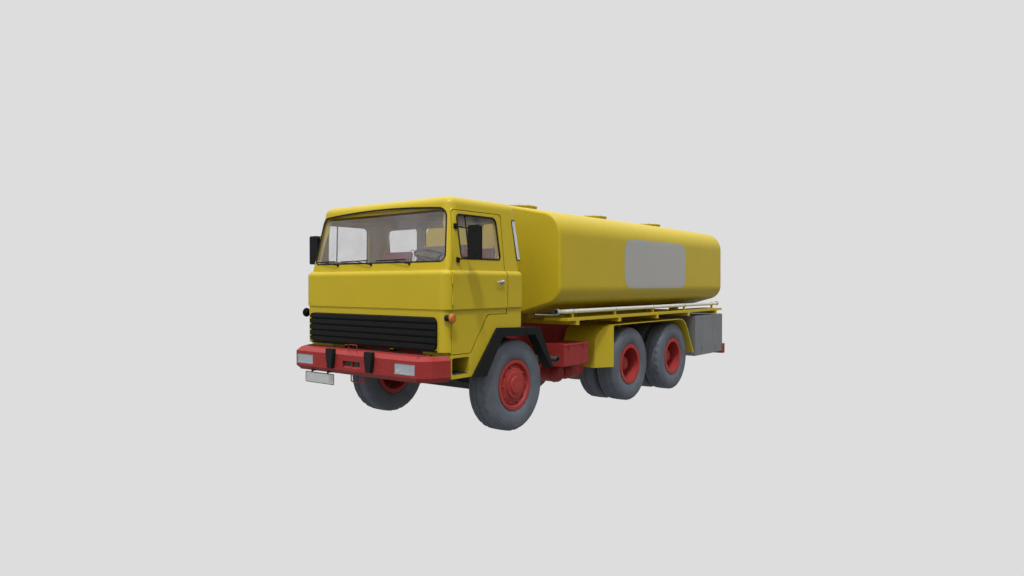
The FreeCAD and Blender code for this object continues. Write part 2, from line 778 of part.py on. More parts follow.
def cab_inside():
    """Room inside the cab: footwell, seat platform and glasshouse."""
    front = ahead(s.cab_front - s.cab_wall - 10)
    rear = behind(s.cab_rear - s.cab_wall)
    half = s.cab_half_width - s.cab_inset - s.cab_wall
    room = prism([(front, s.footwell_floor), (ahead(630), s.footwell_floor), (ahead(450), s.platform_floor),
                  (rear, s.platform_floor), (rear, s.shoulder_height - 30), (front, s.shoulder_height - 30)],
                 "x", -half, half)
    neck_half = s.roof_half_width + 84 - s.cab_wall - 3
    neck = box(-neck_half, neck_half, ahead(s.screen_base_ahead - s.cab_wall - 12), rear,
               s.shoulder_height - 40, s.shoulder_height + 20)
    return fused([room, neck, upper_cab(s.cab_wall)])


def flare_corners(grow=0.0):
    """Outer edge of the black wheel arch as (y, z, radius), grown by a clearance."""
    return [(ahead(832) - grow, 724 - grow), (ahead(405) - grow, s.flare_top + grow, 40),
            (behind(409) + grow, s.flare_top - 30 + grow, 40), (behind(693) + grow, 700 - grow)]


def arch_corners():
    """Inner edge of the arch, clear of the tyre at every steering angle."""
    return [(ahead(622), 690), (ahead(322), 1140, 60), (behind(300), 1140, 60), (behind(645), 690)]


def door_corners(grow_front, grow_rear, grow_low, grow_top):
    """Door seam as (y, z, radius), moved outwards by the gaps."""
    front = ahead(s.door_front_ahead) - grow_front
    rear = ahead(s.door_rear_ahead) + grow_rear
    return [
        (front, s.door_bottom - grow_low),
        (front, s.shoulder_height),
        (ahead(s.screen_base_ahead - 62) - grow_front, s.shoulder_height + 40),
        (ahead(s.screen_top_ahead - 15) - grow_front, s.door_top + grow_top, 40),
        (rear, s.door_top + grow_top, 40),
        (rear, door_step - grow_low),
        (ahead(540) + grow_rear, door_step - grow_low, 60),
        (ahead(825) + grow_rear, s.door_bottom - grow_low, 30),
    ]


def side_window(grow):
    """Side window of a door as (y, z, radius)."""
    return [(ahead(940) - grow, 2027 - grow, 45 + grow), (ahead(270) + grow, 2027 - grow, 45 + grow),
            (ahead(305) + grow, 2507 + grow, 75 + grow), (ahead(968) - grow, 2507 + grow, 45 + grow)]


def screen_window(grow):
    """Windscreen opening seen from the front, with an arched top, as (x, z, radius)."""
    return [(-1140 - grow, 1990 - grow, 70 + grow), (1140 + grow, 1990 - grow, 70 + grow),
            (1066 + grow, 2572 + grow, 110 + grow), (0, 2646 + grow, 12000),
            (-1066 - grow, 2572 + grow, 110 + grow)]


def corner_window(grow):
    """Rear corner window seen from behind."""
    return [(563 - grow, 2050 - grow, 60 + grow), (1128 + grow, 2050 - grow, 60 + grow),
            (1118 + grow, 2505 + grow, 60 + grow), (563 - grow, 2505 + grow, 60 + grow)]


def rear_window(grow):
    return [(-436 - grow, 2240 - grow, 40 + grow), (436 + grow, 2240 - grow, 40 + grow),
            (436 + grow, 2500 + grow, 40 + grow), (-436 - grow, 2500 + grow, 40 + grow)]


HINGE_HEIGHTS = (1580, 1800)


def window_cuts(grow):
    """Prisms of every window of the cab, without the doors."""
    front = prism(screen_window(grow), "y", ahead(s.cab_front + 50), ahead(s.screen_base_ahead - 110))
    rear_low = behind(s.cab_rear - 100)
    rear_high = behind(s.cab_rear + 50)
    corner = prism(corner_window(grow), "y", rear_low, rear_high)
    back = prism(rear_window(grow), "y", rear_low, rear_high)
    return [front, corner, mirrored(corner), back]


def door_hinge_place():
    """x and y of the left door's hinge line."""
    return s.cab_half_width + 2, ahead(s.door_front_ahead)


def hinge_barrel(low, high, radius):
    x, y = door_hinge_place()
    return rod((x, y, low), (x, y, high), radius)


def door_hinges():
    """Barrels of the two hinges of the left door: those of the door, and those of the cab above and below them."""
    half = s.hinge_height / 2
    step = s.hinge_height + s.fit_gap
    door_side = []
    shell_side = []
    for middle in HINGE_HEIGHTS:
        door_side.append(hinge_barrel(middle - half, middle + half, s.hinge_radius))
        for shift in (-step, step):
            shell_side.append(hinge_barrel(middle + shift - half, middle + shift + half, s.hinge_radius))
    return Part.makeCompound(door_side), Part.makeCompound(shell_side)


def hinge_room(barrels):
    """Space that has to be free round barrels of the other side."""
    wider = [hinge_barrel(barrel.BoundBox.ZMin - s.fit_gap, barrel.BoundBox.ZMax + s.fit_gap,
                          s.hinge_radius + s.hinge_clearance) for barrel in barrels.Solids]
    return Part.makeCompound(wider)


def hinge_pin(radius):
    step = s.hinge_height * 1.5
    return Part.makeCompound([hinge_barrel(middle - step, middle + step, radius) for middle in HINGE_HEIGHTS])


def cab_panels(shell):
    """The shell parted into the panels that it is welded from: (label, shape) of each."""
    wide = s.cab_half_width + 100
    front = ahead(s.tilt_ahead + 100)
    rear = behind(s.cab_rear + 10)
    front_wall = ahead(s.cab_front - s.cab_wall - 10)
    rear_wall = behind(s.cab_rear - s.cab_wall)
    inner = s.cab_half_width - s.cab_inset - s.cab_wall
    low = s.sill_bottom - 10
    high = s.roof_height + 10
    step = s.step_inner - 100
    rooms = [
        ("cab_roof", [box(-wide, wide, front, rear, s.panel_seam, high)]),
        ("cab_steps", both_sides(box(step, wide, front, rear, low, s.cab_under_front))),
        ("cab_rear_wall", [box(-wide, wide, rear_wall, rear, low, high)]),
        ("cab_front_wall", [box(-wide, wide, front, front_wall, low, s.shoulder_height)]),
        ("cab_screen_frame", [box(-wide, wide, front, ahead(s.screen_top_ahead - 30), s.shoulder_height, high)]),
        ("cab_floor", [box(-inner, inner, front, rear, low, s.platform_floor)]),
    ]
    panels = []
    for label, cutters in rooms:
        room = Part.makeCompound(cutters)
        panels.append((label, shell.common(room)))
        shell = shell.cut(room)
    return [("cab_shell", shell)] + panels


def make_cab():
    outside = cab_outside()
    inside = cab_inside()
    walls = outside.cut(inside)
    gap = s.door_gap
    wide = s.cab_half_width + 60
    skin = s.cab_half_width - s.cab_inset - s.cab_wall
    opening = prism(door_corners(0, 0, 0, 0), "x", 1000, wide)
    opening = opening.cut(box(999, skin - gap, ahead(s.cab_front), behind(s.cab_rear), s.sill_bottom,
                              s.shoulder_height - 45))
    panel = prism(door_corners(-gap, -s.door_rear_gap, -gap, -gap), "x", 1000, wide)
    panel = panel.cut(box(999, skin, ahead(s.cab_front), behind(s.cab_rear), s.sill_bottom,
                          s.shoulder_height - 40))
    window = prism(side_window(0), "x", 1000, wide)
    door = walls.common(panel).cut(window)
    door_barrels, shell_barrels = door_hinges()
    shell = walls
    for cutter in both_sides(opening) + window_cuts(0):
        shell = shell.cut(cutter)
    flare = prism(flare_corners(s.fit_gap), "x", s.flare_inner - s.fit_gap, wide)
    recess = prism([(ahead(1130), 777, 20), (ahead(862), 777, 20), (ahead(862), 957, 20), (ahead(1130), 957, 20)],
                   "x", 960, wide)
    for cutter in both_sides(flare) + both_sides(recess):
        shell = shell.cut(cutter)
    arms = []
    for side in (1, -1):
        x0, x1 = sorted((side * 376, side * 424))
        arm = box(x0, x1, ahead(s.tilt_ahead), ahead(s.rail_front + 10), s.tilt_height - 18,
                  s.cab_under_front + 5)
        eye = rod((x0, ahead(s.tilt_ahead), s.tilt_height), (x1, ahead(s.tilt_ahead), s.tilt_height), 20)
        arms.append(fused([arm, eye]).cut(rod((x0 - 5, ahead(s.tilt_ahead), s.tilt_height),
                                              (x1 + 5, ahead(s.tilt_ahead), s.tilt_height),
                                              s.tilt_pin_radius + s.running_clearance)))
    shell = fused([shell] + arms)
    for cutter in both_sides(hinge_room(door_barrels)):
        shell = shell.cut(cutter)
    shell = fused([shell] + both_sides(shell_barrels))
    door = fused([door.cut(hinge_room(shell_barrels)), door_barrels])
    door = door.cut(hinge_pin(s.hinge_pin_radius + s.running_clearance))
    shell = fused([shell] + both_sides(hinge_pin(s.hinge_pin_radius)))
    for label, panel in cab_panels(shell):
        feature(label, *[solid for solid in panel.Solids if solid.Volume > 1])
    feature("door_left", door)
    feature("door_right", mirrored(door))
    layer = upper_cab(15).cut(upper_cab(23))
    panes = []
    for cutter in window_cuts(-s.fit_gap):
        panes += [solid for solid in layer.common(cutter).Solids if solid.Volume > 1e5]
    feature("cab_glass", *panes)
    pane = layer.common(prism(side_window(-s.fit_gap), "x", 1000, wide))
    feature("door_glass_left", pane.Solids[0])
    feature("door_glass_right", mirrored(pane.Solids[0]))


def make_grille():
    """Black grille of broad horizontal slats."""
    back = ahead(s.cab_front - 10) - s.fit_gap
    low, high = 1035, s.crease_height - 81
    slats = 5
    pitch = (high - low) / slats
    section = [(back, high), (back, low)]
    for i in range(slats):
        base = low + i * pitch
        section += [(back - 12, base), (back - 12, base + 10), (back - 34, base + 16),
                    (back - 34, base + pitch - 10), (back - 12, base + pitch)]
    band = prism(section, "x", -1100, 1100)
    rim = prism([(-1100, low, 70), (1100, low, 70), (1100, high, 70), (-1100, high, 70)], "y", back - 60, back + 5)
    feature("grille", band.common(rim))


def make_flares():
    """Black wheel arches, parted at the back wall of the cab so that the cab can tilt."""
    ring = prism(flare_corners(), "x", s.flare_inner, s.flare_outer)
    ring = ring.cut(prism(arch_corners(), "x", s.flare_inner - 1, s.flare_outer + 1))
    part_y = behind(s.cab_rear)
    near = ring.common(box(s.flare_inner - 1, s.flare_outer + 1, ahead(1000), part_y, 600, 1400))
    far = ring.common(box(s.flare_inner - 1, s.flare_outer + 1, part_y + s.door_gap, behind(1000), 600, 1400))
    stay = box(s.rail_outer - 1, s.flare_inner + 1, behind(180), behind(230), 1155, 1200)
    post = box(s.rail_outer - 40, s.rail_outer, behind(180), behind(230), s.rail_top + s.fit_gap, 1200)
    far = fused([far, stay, post])
    feature("arch_flares_cab", *both_sides(near))
    feature("arch_flares_frame", *both_sides(far))


def make_indicators():
    """Amber side lamps on tapered arms at the front corners."""
    y = ahead(s.door_front_ahead + 38)
    z = s.crease_height - 89
    arm = Part.makeCone(36, 24, 84, Vector(1180, y, z), Vector(1, 0, 0))
    disc = rod((1262, y, z), (1300, y, z), 57)
    gap = s.fit_gap
    side = s.cab_half_width - s.cab_inset + gap
    radius = s.cab_corner_radius - 10 + gap
    corner = prism(cab_plan(side, ahead(s.cab_front - 10 + gap), behind(s.cab_rear), radius, 80), "z",
                   z - 100, z + 100)
    lamp = fused([arm.cut(corner), disc])
    feature("indicators", *both_sides(lamp))


def make_mirrors():
    """Tall mirrors on two arms from the front frame of each door."""
    head = prism([(1315, 2005, 25), (1485, 2005, 25), (1485, 2375, 25), (1315, 2375, 25)], "y",
                 ahead(985), ahead(940))
    top = rod((1146, ahead(1010), 2374), (1400, ahead(962), 2330), 9)
    low = rod((1186, ahead(1010), 2007), (1400, ahead(962), 2050), 9)
    whole = fused([head, top, low])
    whole = whole.cut(upper_cab(-s.fit_gap))
    whole = [solid for solid in whole.Solids if solid.Volume > 1e5][0]
    feature("mirror_left", whole)
    feature("mirror_right", mirrored(whole))


def make_interior():
    """Seats, seat boxes, dashboard, column and steering wheel."""
    cushions = []
    bases = []
    floor = s.platform_floor + s.fit_gap
    for side in (1, -1):
        x0, x1 = sorted((side * 446, side * 976))
        cushions.append(prism([(ahead(640), 1503.4, 40), (ahead(150), 1503.4, 30), (ahead(150), 1640, 30),
                               (ahead(640), 1660, 50)], "x", x0, x1))
        cushions.append(prism([(ahead(235), 1643.8, 25), (ahead(120), 1639.1, 25), (ahead(60), 2210, 40),
                               (ahead(160), 2210, 40)], "x", x0, x1))
        bases.append(box(x0 + 60, x1 - 60, ahead(400), ahead(150), floor, 1503))
    feature("seat_cushions", *cushions)
    feature("seat_boxes", *bases)
    wall = ahead(s.cab_front - s.cab_wall - 10) + s.fit_gap
    shelf = prism([(wall, 1640), (wall, 1862), (ahead(985), 1862, 20), (ahead(960), 1800, 20),
                   (ahead(1010), 1640)], "x", -1150, 1150)
    binnacle = prism([(ahead(1020), 1700), (ahead(1020), 1880, 15), (ahead(930), 1862, 25),
                      (ahead(885), 1770, 20), (ahead(930), 1700, 20)], "x", 540, 860)
    hub = Vector(700, ahead(836), 2040)
    tilt = FreeCAD.Rotation(Vector(1, 0, 0), -20)
    up = tilt.multVec(Vector(0, 0, 1))
    ring = Part.makeTorus(245, 15, hub, up)
    boss = Part.makeCylinder(48, 40, hub - up * 45, up)
    column = Part.makeCylinder(24, 260, hub - up * 290, up)
    spokes = []
    for angle in (0, 120, 240):
        away = tilt.multVec(FreeCAD.Rotation(Vector(0, 0, 1), angle + 90).multVec(Vector(1, 0, 0)))
        spokes.append(Part.makeCylinder(11, 246, hub - up * 20, away * 246 + up * 20))
    feature("dashboard", fused([shelf, binnacle, column, boss, ring] + spokes))


# Tank

def make_tank():
    """Long tank of constant section with rounded ends, and three low manhole collars."""
    half = s.tank_half_width
    section = [
        (0, s.tank_top, s.tank_top_radius), (half, s.tank_shoulder, s.tank_shoulder_radius),
        (half, s.tank_haunch, s.tank_haunch_radius), (540, s.tank_bottom, 700),
        (-540, s.tank_bottom, 700), (-half, s.tank_haunch, s.tank_haunch_radius),
        (-half, s.tank_shoulder, s.tank_shoulder_radius),
    ]
    barrel = prism(section, "y", tank_front_y, tank_rear_y)
    ends = {tank_front_y: s.tank_front_radius, tank_rear_y: s.tank_rear_radius}
    for level, radius in ends.items():
        rim = [edge for edge in barrel.Edges if all(abs(v.Y - level) < 0.01 for v in edge.Vertexes)]
        barrel = barrel.makeFillet(radius, rim)
    collars = [rod((0, y, s.tank_top - 150), (0, y, s.manhole_top), s.manhole_radius) for y in manhole_ys()]
    wells = [rod((0, y, s.tank_top - 110), (0, y, s.manhole_top + 1), s.manhole_radius - 30)
             for y in manhole_ys()]
    ears = []
    for y in manhole_ys():
        hinge_y = y + s.manhole_radius + 35
        for x in (-60, 42):
            ears.append(box(x, x + 18, hinge_y - 60, hinge_y + 16, s.tank_top - 100, s.manhole_top + 30))
    whole = fused([barrel] + collars + ears)
    for well in wells:
        whole = whole.cut(well)
    for y in manhole_ys():
        hinge = hinge_line(y)
        whole = whole.cut(rod((-70, hinge.y, hinge.z), (70, hinge.y, hinge.z), 8 + s.running_clearance))
    feature("tank_barrel", whole)


def manhole_ys():
    return [along_tank(share) for share in (0.13, 0.5, 0.87)]


def hinge_line(y):
    return Vector(0, y + s.manhole_radius + 35, s.manhole_top + 14)


def make_lids():
    """Round manhole lids, each on a hinge behind its collar."""
    for number, y in enumerate(manhole_ys(), start=1):
        hinge = hinge_line(y)
        low = s.manhole_top + s.fit_gap
        disc = rod((0, y, low), (0, y, low + s.manhole_lid_thickness), s.manhole_radius + 8)
        tongue = box(-36, 36, y + s.manhole_radius - 40, hinge.y, low, low + s.manhole_lid_thickness)
        knuckle = rod((-36, hinge.y, hinge.z), (36, hinge.y, hinge.z), 14)
        pin = rod((-62, hinge.y, hinge.z), (62, hinge.y, hinge.z), 8)
        disc = disc.cut(box(-68, -34, y + s.manhole_radius - 34, hinge.y + 30, low - 5, low + 60))
        disc = disc.cut(box(34, 68, y + s.manhole_radius - 34, hinge.y + 30, low - 5, low + 60))
        feature("manhole_lid_%d" % number, fused([disc, tongue, knuckle, pin]))


BEAM_SHARES = (0.0745, 0.2821, 0.5047, 0.7225, 0.946)


def make_walkways():
    """Cross beams on the subframe with saddles for the tank, side walkways and tube posts."""
    low = s.subframe_top + s.fit_gap
    deck = s.walkway_top - s.walkway_thickness
    shapes = []
    for share in BEAM_SHARES:
        y = along_tank(share)
        shapes.append(box(-s.walkway_outer - 8, s.walkway_outer + 8, y - 30, y + 30, low, deck))
        for side in (1, -1):
            x0, x1 = sorted((side * 330, side * 470))
            shapes.append(box(x0, x1, y - 60, y + 60, deck - 5, s.tank_bottom - s.fit_gap))
            x0, x1 = sorted((side * (s.hose_tube_offset - 15), side * (s.hose_tube_offset + 15)))
            shapes.append(box(x0, x1, y - 15, y + 15, s.walkway_top - 5,
                              s.hose_tube_height - s.hose_tube_radius - s.fit_gap))
    for side in (1, -1):
        x0, x1 = sorted((side * s.walkway_inner, side * s.walkway_outer))
        shapes.append(box(x0, x1, tank_front_y + 170, tank_rear_y - 10, deck, s.walkway_top))
    feature("walkways", fused(shapes))


def make_hose_tubes():
    """White hose tubes on the walkways, stepped inwards at both ends, with a coupling at the back."""
    x = s.hose_tube_offset
    end_x = x - s.hose_tube_step
    z = s.hose_tube_height
    start = tank_front_y + 107
    end = tank_rear_y + 62
    route = [(start, end_x, 0), (start + 85, end_x, 70), (start + 155, x, 70),
             (end - 150, x, 70), (end - 90, end_x, 70), (end, end_x, 0)]
    edges = rounded_edges([(a, b, r) for a, b, r in route], lambda a, b: Vector(b, a, z), closed=False)
    path = Part.Wire(edges)
    ring = Part.Wire(Part.makeCircle(s.hose_tube_radius, Vector(end_x, start, z), Vector(0, 1, 0)))
    tube = path.makePipeShell([ring], True, False)
    rim = s.hose_tube_radius + 12
    cap = rod((end_x, start - 20, z), (end_x, start + 10, z), rim)
    flange = rod((end_x, end - 14, z), (end_x, end + 6, z), rim)
    bore = rod((end_x, end - s.coupling_depth, z), (end_x, end + 7, z), s.hose_tube_radius - 6)
    whole = fused([tube, cap, flange]).cut(bore)
    feature("hose_tubes", *both_sides(whole))


MUDGUARD_FRONT_SHARE = 0.8575
MUDGUARD_BACK_SHARE = 0.102


def mudguard_profile(inset):
    """Edge of the mudguard as (y, z, radius), drawn in by an inset; open below."""
    front = between(MUDGUARD_FRONT_SHARE) + inset
    back = beyond(MUDGUARD_BACK_SHARE) - inset
    top = s.mudguard_top - inset
    low = s.mudguard_bottom - inset * 5
    return [(front, low), (front, top, 280 - inset), (beyond(-0.132) - inset, top, 330 - inset), (back, low)]


def make_mudguards():
    """Bent sheet over both rear wheels, with a bevelled apron in front."""
    inner = s.mudguard_inner
    outer = s.mudguard_outer
    sheet = s.mudguard_sheet
    front = between(MUDGUARD_FRONT_SHARE)
    solid = prism(mudguard_profile(0), "x", inner, outer)
    hollow = prism(mudguard_profile(sheet), "x", inner - 1, outer + 1)
    wide = s.mudguard_bevel_width
    long = s.mudguard_bevel_length
    corner = prism([(outer - wide, front - 1), (outer + 20, front - 1), (outer + 20, front + long + 34),
                    (outer, front + long)], "z", 500, 1300)
    corner_in = prism([(outer - wide - sheet * 0.5, front), (outer + 40, front),
                       (outer + 40, front + long + 80), (outer, front + long + sheet * 0.9)], "z", 400, 1400)
    guard = solid.cut(corner).cut(hollow.cut(corner_in))
    middle = (rear_axle_ys[0] + rear_axle_ys[1]) / 2
    stay = box(s.rail_outer + s.fit_gap, inner + 30, middle - 15, middle + 15, 1020, s.mudguard_top - sheet + 2)
    feature("rear_mudguards", *both_sides(fused([guard, stay])))


def make_lockers():
    """Galvanised side lockers behind the rear wheels, open at the side where the door is."""
    y0 = beyond(0.13)
    y1 = beyond(0.923)
    unit = (y1 - y0) / 1240
    wall = s.locker_wall
    edge = s.locker_outer - s.locker_door - 2
    shell = box(s.locker_inner, edge, y0, y1, s.locker_bottom, s.locker_top)
    shell = shell.cut(box(s.locker_inner + wall, edge + 1, y0 + wall, y1 - wall, s.locker_bottom + wall,
                          s.locker_top - wall))
    for station in (y0 + 150 * unit, y1 - 200 * unit):
        shell = shell.fuse(box(s.rail_outer + s.fit_gap, s.locker_inner + 2, station, station + 50 * unit,
                               s.rail_bottom + 20, s.rail_bottom + 80))
    hinge = locker_hinge()
    hinge_starts = (y0 + 60 * unit, y1 - 140 * unit)
    for station in hinge_starts:
        for start in (station, station + 60 * unit):
            ear = box(edge - 2, hinge[0] + 6, start, start + 20 * unit, s.locker_top - 30, s.locker_top + 8)
            shell = shell.fuse(ear)
    shell = shell.cut(rod((hinge[0], y0, hinge[1]), (hinge[0], y1, hinge[1]), 5 + s.running_clearance))
    shell = shell.removeSplitter()
    door = box(edge + 2, s.locker_outer, y0, y1, s.locker_bottom, s.locker_top)
    for station in hinge_starts:
        door = door.cut(box(edge, s.locker_outer + 1, station - 6 * unit, station + 86 * unit,
                            s.locker_top - 36, s.locker_top + 10))
        near = station + 26 * unit
        far = station + 54 * unit
        tab = box(edge + 4, hinge[0] + 5, near, far, s.locker_top - 37, hinge[1])
        knuckle = rod((hinge[0], near, hinge[1]), (hinge[0], far, hinge[1]), 8)
        pin = rod((hinge[0], station + unit, hinge[1]), (hinge[0], station + 79 * unit, hinge[1]), 5)
        door = fused([door, tab, knuckle, pin])
    feature("lockers", *both_sides(shell))
    feature("locker_door_left", door)
    feature("locker_door_right", mirrored(door))


def locker_hinge():
    """x and z of the locker door's hinge line."""
    return (s.locker_outer - 8, s.locker_top)


def make_side_boxes():
    """Battery box on the left and fuel tank on the right, hung on the rails."""
    battery = prism([(800, 660, 10), (1180, 660, 10), (1180, 930), (1186, 930), (1186, 955, 8), (794, 955, 8),
                     (794, 930), (800, 930)], "y", between(0.4593), between(0.7248))
    arms = [box(s.rail_outer + s.fit_gap, 802, between(share), between(share) + 50, 880, 925)
            for share in (0.5, 0.6637)]
    feature("battery_box", fused([battery] + arms))
    tank = prism([(-1180, 480, 70), (-560, 480, 70), (-560, 950, 70), (-1180, 950, 70)], "y",
                 between(0.4336), between(0.7876))
    arms = [box(-562, -s.rail_outer - s.fit_gap, between(share), between(share) + 60, 850, 900)
            for share in (0.4956, 0.6991)]
    cap = rod((-1100, between(0.4867), 945), (-1100, between(0.4867), 985), 50)
    feature("fuel_tank", fused([tank, cap] + arms))


def make_reservoirs():
    """Two air reservoirs below the battery box, one across and one along the truck."""
    reach = s.rail_outer + s.fit_gap
    y = between(0.5708)
    across = rod((560, y, 535), (960, y, 535), 120)
    rim = [edge for edge in across.Edges if edge.Curve.TypeId == "Part::GeomCircle"]
    across = across.makeFillet(60, rim)
    hanger = fused([box(reach, 640, y - 20, y + 20, 790, 830), box(600, 640, y - 20, y + 20, 600, 830)])
    start = between(0.637)
    end = between(0.836)
    along = rod((860, start, 540), (860, end, 540), 105)
    rim = [edge for edge in along.Edges if edge.Curve.TypeId == "Part::GeomCircle"]
    along = along.makeFillet(50, rim)
    y = between(0.752)
    shelf = fused([box(reach, 880, y, y + 40, 800, 830), box(840, 880, y, y + 40, 600, 830)])
    feature("air_reservoirs", fused([across, hanger]), fused([along, shelf]))


def make_exhaust():
    """Silencer beside the left rail with its tail pipe to the side."""
    silencer = rod((560, between(0.3186), 800), (560, between(0.4602), 800), 100)
    y = between(0.4093)
    pipe = rod((560, y, 769), (1165, y, 769), 38)
    hanger = box(s.rail_outer + s.fit_gap, 500, between(0.354), between(0.354) + 40, 790, 960)
    whole = fused([silencer, pipe, hanger]).cut(rod((1000, y, 769), (1170, y, 769), 33))
    feature("exhaust", whole)


def make_ladder():
    """Ladder up the back of the tank."""
    y = tank_rear_y
    low, high = 700, 2760
    shapes = []
    for side in (1, -1):
        shapes.append(rod((side * 200, y + 60, low), (side * 200, y + 60, high), 16))
        for z in (1700, 2450):
            shapes.append(rod((side * 200, y + s.fit_gap, z), (side * 200, y + 60, z), 12))
    count = 7
    for i in range(count):
        z = low + 80 + i * 290
        shapes.append(rod((-200, y + 60, z), (200, y + 60, z), 11))
    feature("rear_ladder", fused(shapes))


def check_and_write():
    document.recompute()
    for item in document.Objects:
        if {"Invalid", "Error"} & set(item.State):
            raise RuntimeError("failed object: " + item.Label)
    for piece in sub_parts:
        shape = piece.Shape
        if shape.isNull() or not shape.isValid() or not shape.Solids:
            raise RuntimeError("bad shape: " + piece.Label)
        print("%-22s %2d solids %9.1f litres" % (piece.Label, len(shape.Solids), shape.Volume / 1e6))
        shape.exportStep(os.path.join("parts", piece.Label + ".step"))


make_wheels()
make_axles()
make_steering()
make_leaf_springs()
make_drivetrain()
make_frame()
make_bumper()
make_guards()
make_lamps()
make_cab()
make_grille()
make_flares()
make_indicators()
make_mirrors()
make_interior()
make_tank()
make_lids()
make_walkways()
make_hose_tubes()
make_mudguards()
make_lockers()
make_side_boxes()
make_reservoirs()
make_exhaust()
make_ladder()
check_and_write()
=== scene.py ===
import json
import math

import bmesh
import bpy
from mathutils import Matrix, Vector


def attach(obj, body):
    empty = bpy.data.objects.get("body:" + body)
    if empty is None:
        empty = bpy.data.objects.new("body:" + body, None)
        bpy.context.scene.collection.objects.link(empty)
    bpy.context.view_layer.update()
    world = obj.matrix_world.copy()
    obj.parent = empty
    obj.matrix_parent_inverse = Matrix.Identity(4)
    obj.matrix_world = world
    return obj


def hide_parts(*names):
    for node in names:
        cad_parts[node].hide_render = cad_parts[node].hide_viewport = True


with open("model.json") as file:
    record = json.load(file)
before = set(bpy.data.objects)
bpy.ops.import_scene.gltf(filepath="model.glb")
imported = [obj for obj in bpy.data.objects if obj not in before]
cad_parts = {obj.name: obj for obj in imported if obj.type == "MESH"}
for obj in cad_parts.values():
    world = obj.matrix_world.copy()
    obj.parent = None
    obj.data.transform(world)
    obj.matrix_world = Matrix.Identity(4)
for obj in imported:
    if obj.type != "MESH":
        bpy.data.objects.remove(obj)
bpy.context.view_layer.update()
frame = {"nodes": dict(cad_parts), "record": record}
nodes = frame["nodes"]

FRONT_AXLE_Y = -2.4755
MID_AXLE_Y = 0.3325
REAR_AXLE_Y = 1.7825
AXLE_Z = 0.548


# Materials

def shader_nodes(material):
    """A material's node tree, its Principled shader and its object coordinates."""
    material.use_nodes = True
    tree = material.node_tree
    shader = tree.nodes["Principled BSDF"]
    place = tree.nodes.new("ShaderNodeTexCoord")
    return tree, shader, place.outputs["Object"]


def math_node(tree, operation, first, second=0.5, clamp=False):
    node = tree.nodes.new("ShaderNodeMath")
    node.operation = operation
    node.use_clamp = clamp
    for socket, value in zip(node.inputs, (first, second)):
        if isinstance(value, (int, float)):
            socket.default_value = value
        else:
            tree.links.new(value, socket)
    return node.outputs[0]


def noise(tree, place, scale, detail=3.0, stretch=(1, 1, 1)):
    """Noise from 0 to 1 over the object; a stretch below 1 draws it out along that axis."""
    mapping = tree.nodes.new("ShaderNodeMapping")
    mapping.inputs["Scale"].default_value = stretch
    tree.links.new(place, mapping.inputs["Vector"])
    node = tree.nodes.new("ShaderNodeTexNoise")
    node.inputs["Scale"].default_value = scale
    node.inputs["Detail"].default_value = detail
    tree.links.new(mapping.outputs[0], node.inputs["Vector"])
    return node.outputs["Fac"]


def ranged(tree, value, low, high, out_low=0.0, out_high=1.0):
    node = tree.nodes.new("ShaderNodeMapRange")
    tree.links.new(value, node.inputs["Value"])
    for name, number in (("From Min", low), ("From Max", high), ("To Min", out_low), ("To Max", out_high)):
        node.inputs[name].default_value = number
    return node.outputs["Result"]


def mixed(tree, factor, first, second, blend="MIX"):
    """Colour mix; each of the two is a colour or a socket."""
    node = tree.nodes.new("ShaderNodeMix")
    node.data_type = "RGBA"
    node.blend_type = blend
    for socket, value in ((node.inputs["Factor"], factor), (node.inputs["A"], first), (node.inputs["B"], second)):
        if isinstance(value, (int, float)):
            socket.default_value = value
        elif isinstance(value, tuple):
            socket.default_value = value if len(value) == 4 else (*value, 1)
        else:
            tree.links.new(value, socket)
    return node.outputs["Result"]


def height(tree, place):
    split = tree.nodes.new("ShaderNodeSeparateXYZ")
    tree.links.new(place, split.inputs[0])
    return split.outputs["Z"]


def bump(tree, shader, value, strength, distance=0.002):
    node = tree.nodes.new("ShaderNodeBump")
    node.inputs["Strength"].default_value = strength
    node.inputs["Distance"].default_value = distance
    tree.links.new(value, node.inputs["Height"])
    tree.links.new(node.outputs[0], shader.inputs["Normal"])


# Dust colour, also used as painted shade that darkens painted parts towards the bottom.
DUST_AND_SHADE = (0.33, 0.30, 0.24)


def paint(name, colour, roughness=0.42, coat=0.04, dust=0.10, dust_and_shade_top=1.2, mottle=0.06):
    """Sprayed paint: slight colour drift, orange peel, and a dust colour mixed in more towards the bottom, painted
    shade as well as road dust.
    """
    material = bpy.data.materials.new(name)
    tree, shader, place = shader_nodes(material)
    drift = noise(tree, place, 2.2, 5.0)
    dark = tuple(c * (1 - mottle) for c in colour)
    light = tuple(min(1.0, c * (1 + mottle)) for c in colour)
    base = mixed(tree, drift, dark, light)
    # Dust colour that grows towards the bottom: painted shade, darker low down, as well as road dust in patches.
    low = ranged(tree, height(tree, place), dust_and_shade_top, 0.2)
    patchy = ranged(tree, noise(tree, place, 7.0, 8.0), 0.25, 0.75)
    dust_and_shade_cover = math_node(tree, "MULTIPLY", math_node(tree, "MULTIPLY", low, patchy), dust, clamp=True)
    tree.links.new(mixed(tree, dust_and_shade_cover, base, DUST_AND_SHADE), shader.inputs["Base Color"])
    streaks = noise(tree, place, 16.0, 4.0, (1, 1, 0.25))
    rough = math_node(tree, "ADD", ranged(tree, streaks, 0.3, 0.7, roughness - 0.05, roughness + 0.07),
                      math_node(tree, "MULTIPLY", dust_and_shade_cover, 0.5))
    tree.links.new(rough, shader.inputs["Roughness"])
    shader.inputs["Coat Weight"].default_value = coat
    shader.inputs["Coat Roughness"].default_value = 0.25
    shader.inputs["Specular IOR Level"].default_value = 0.25
    bump(tree, shader, noise(tree, place, 260.0, 2.0), 0.05)
    return material


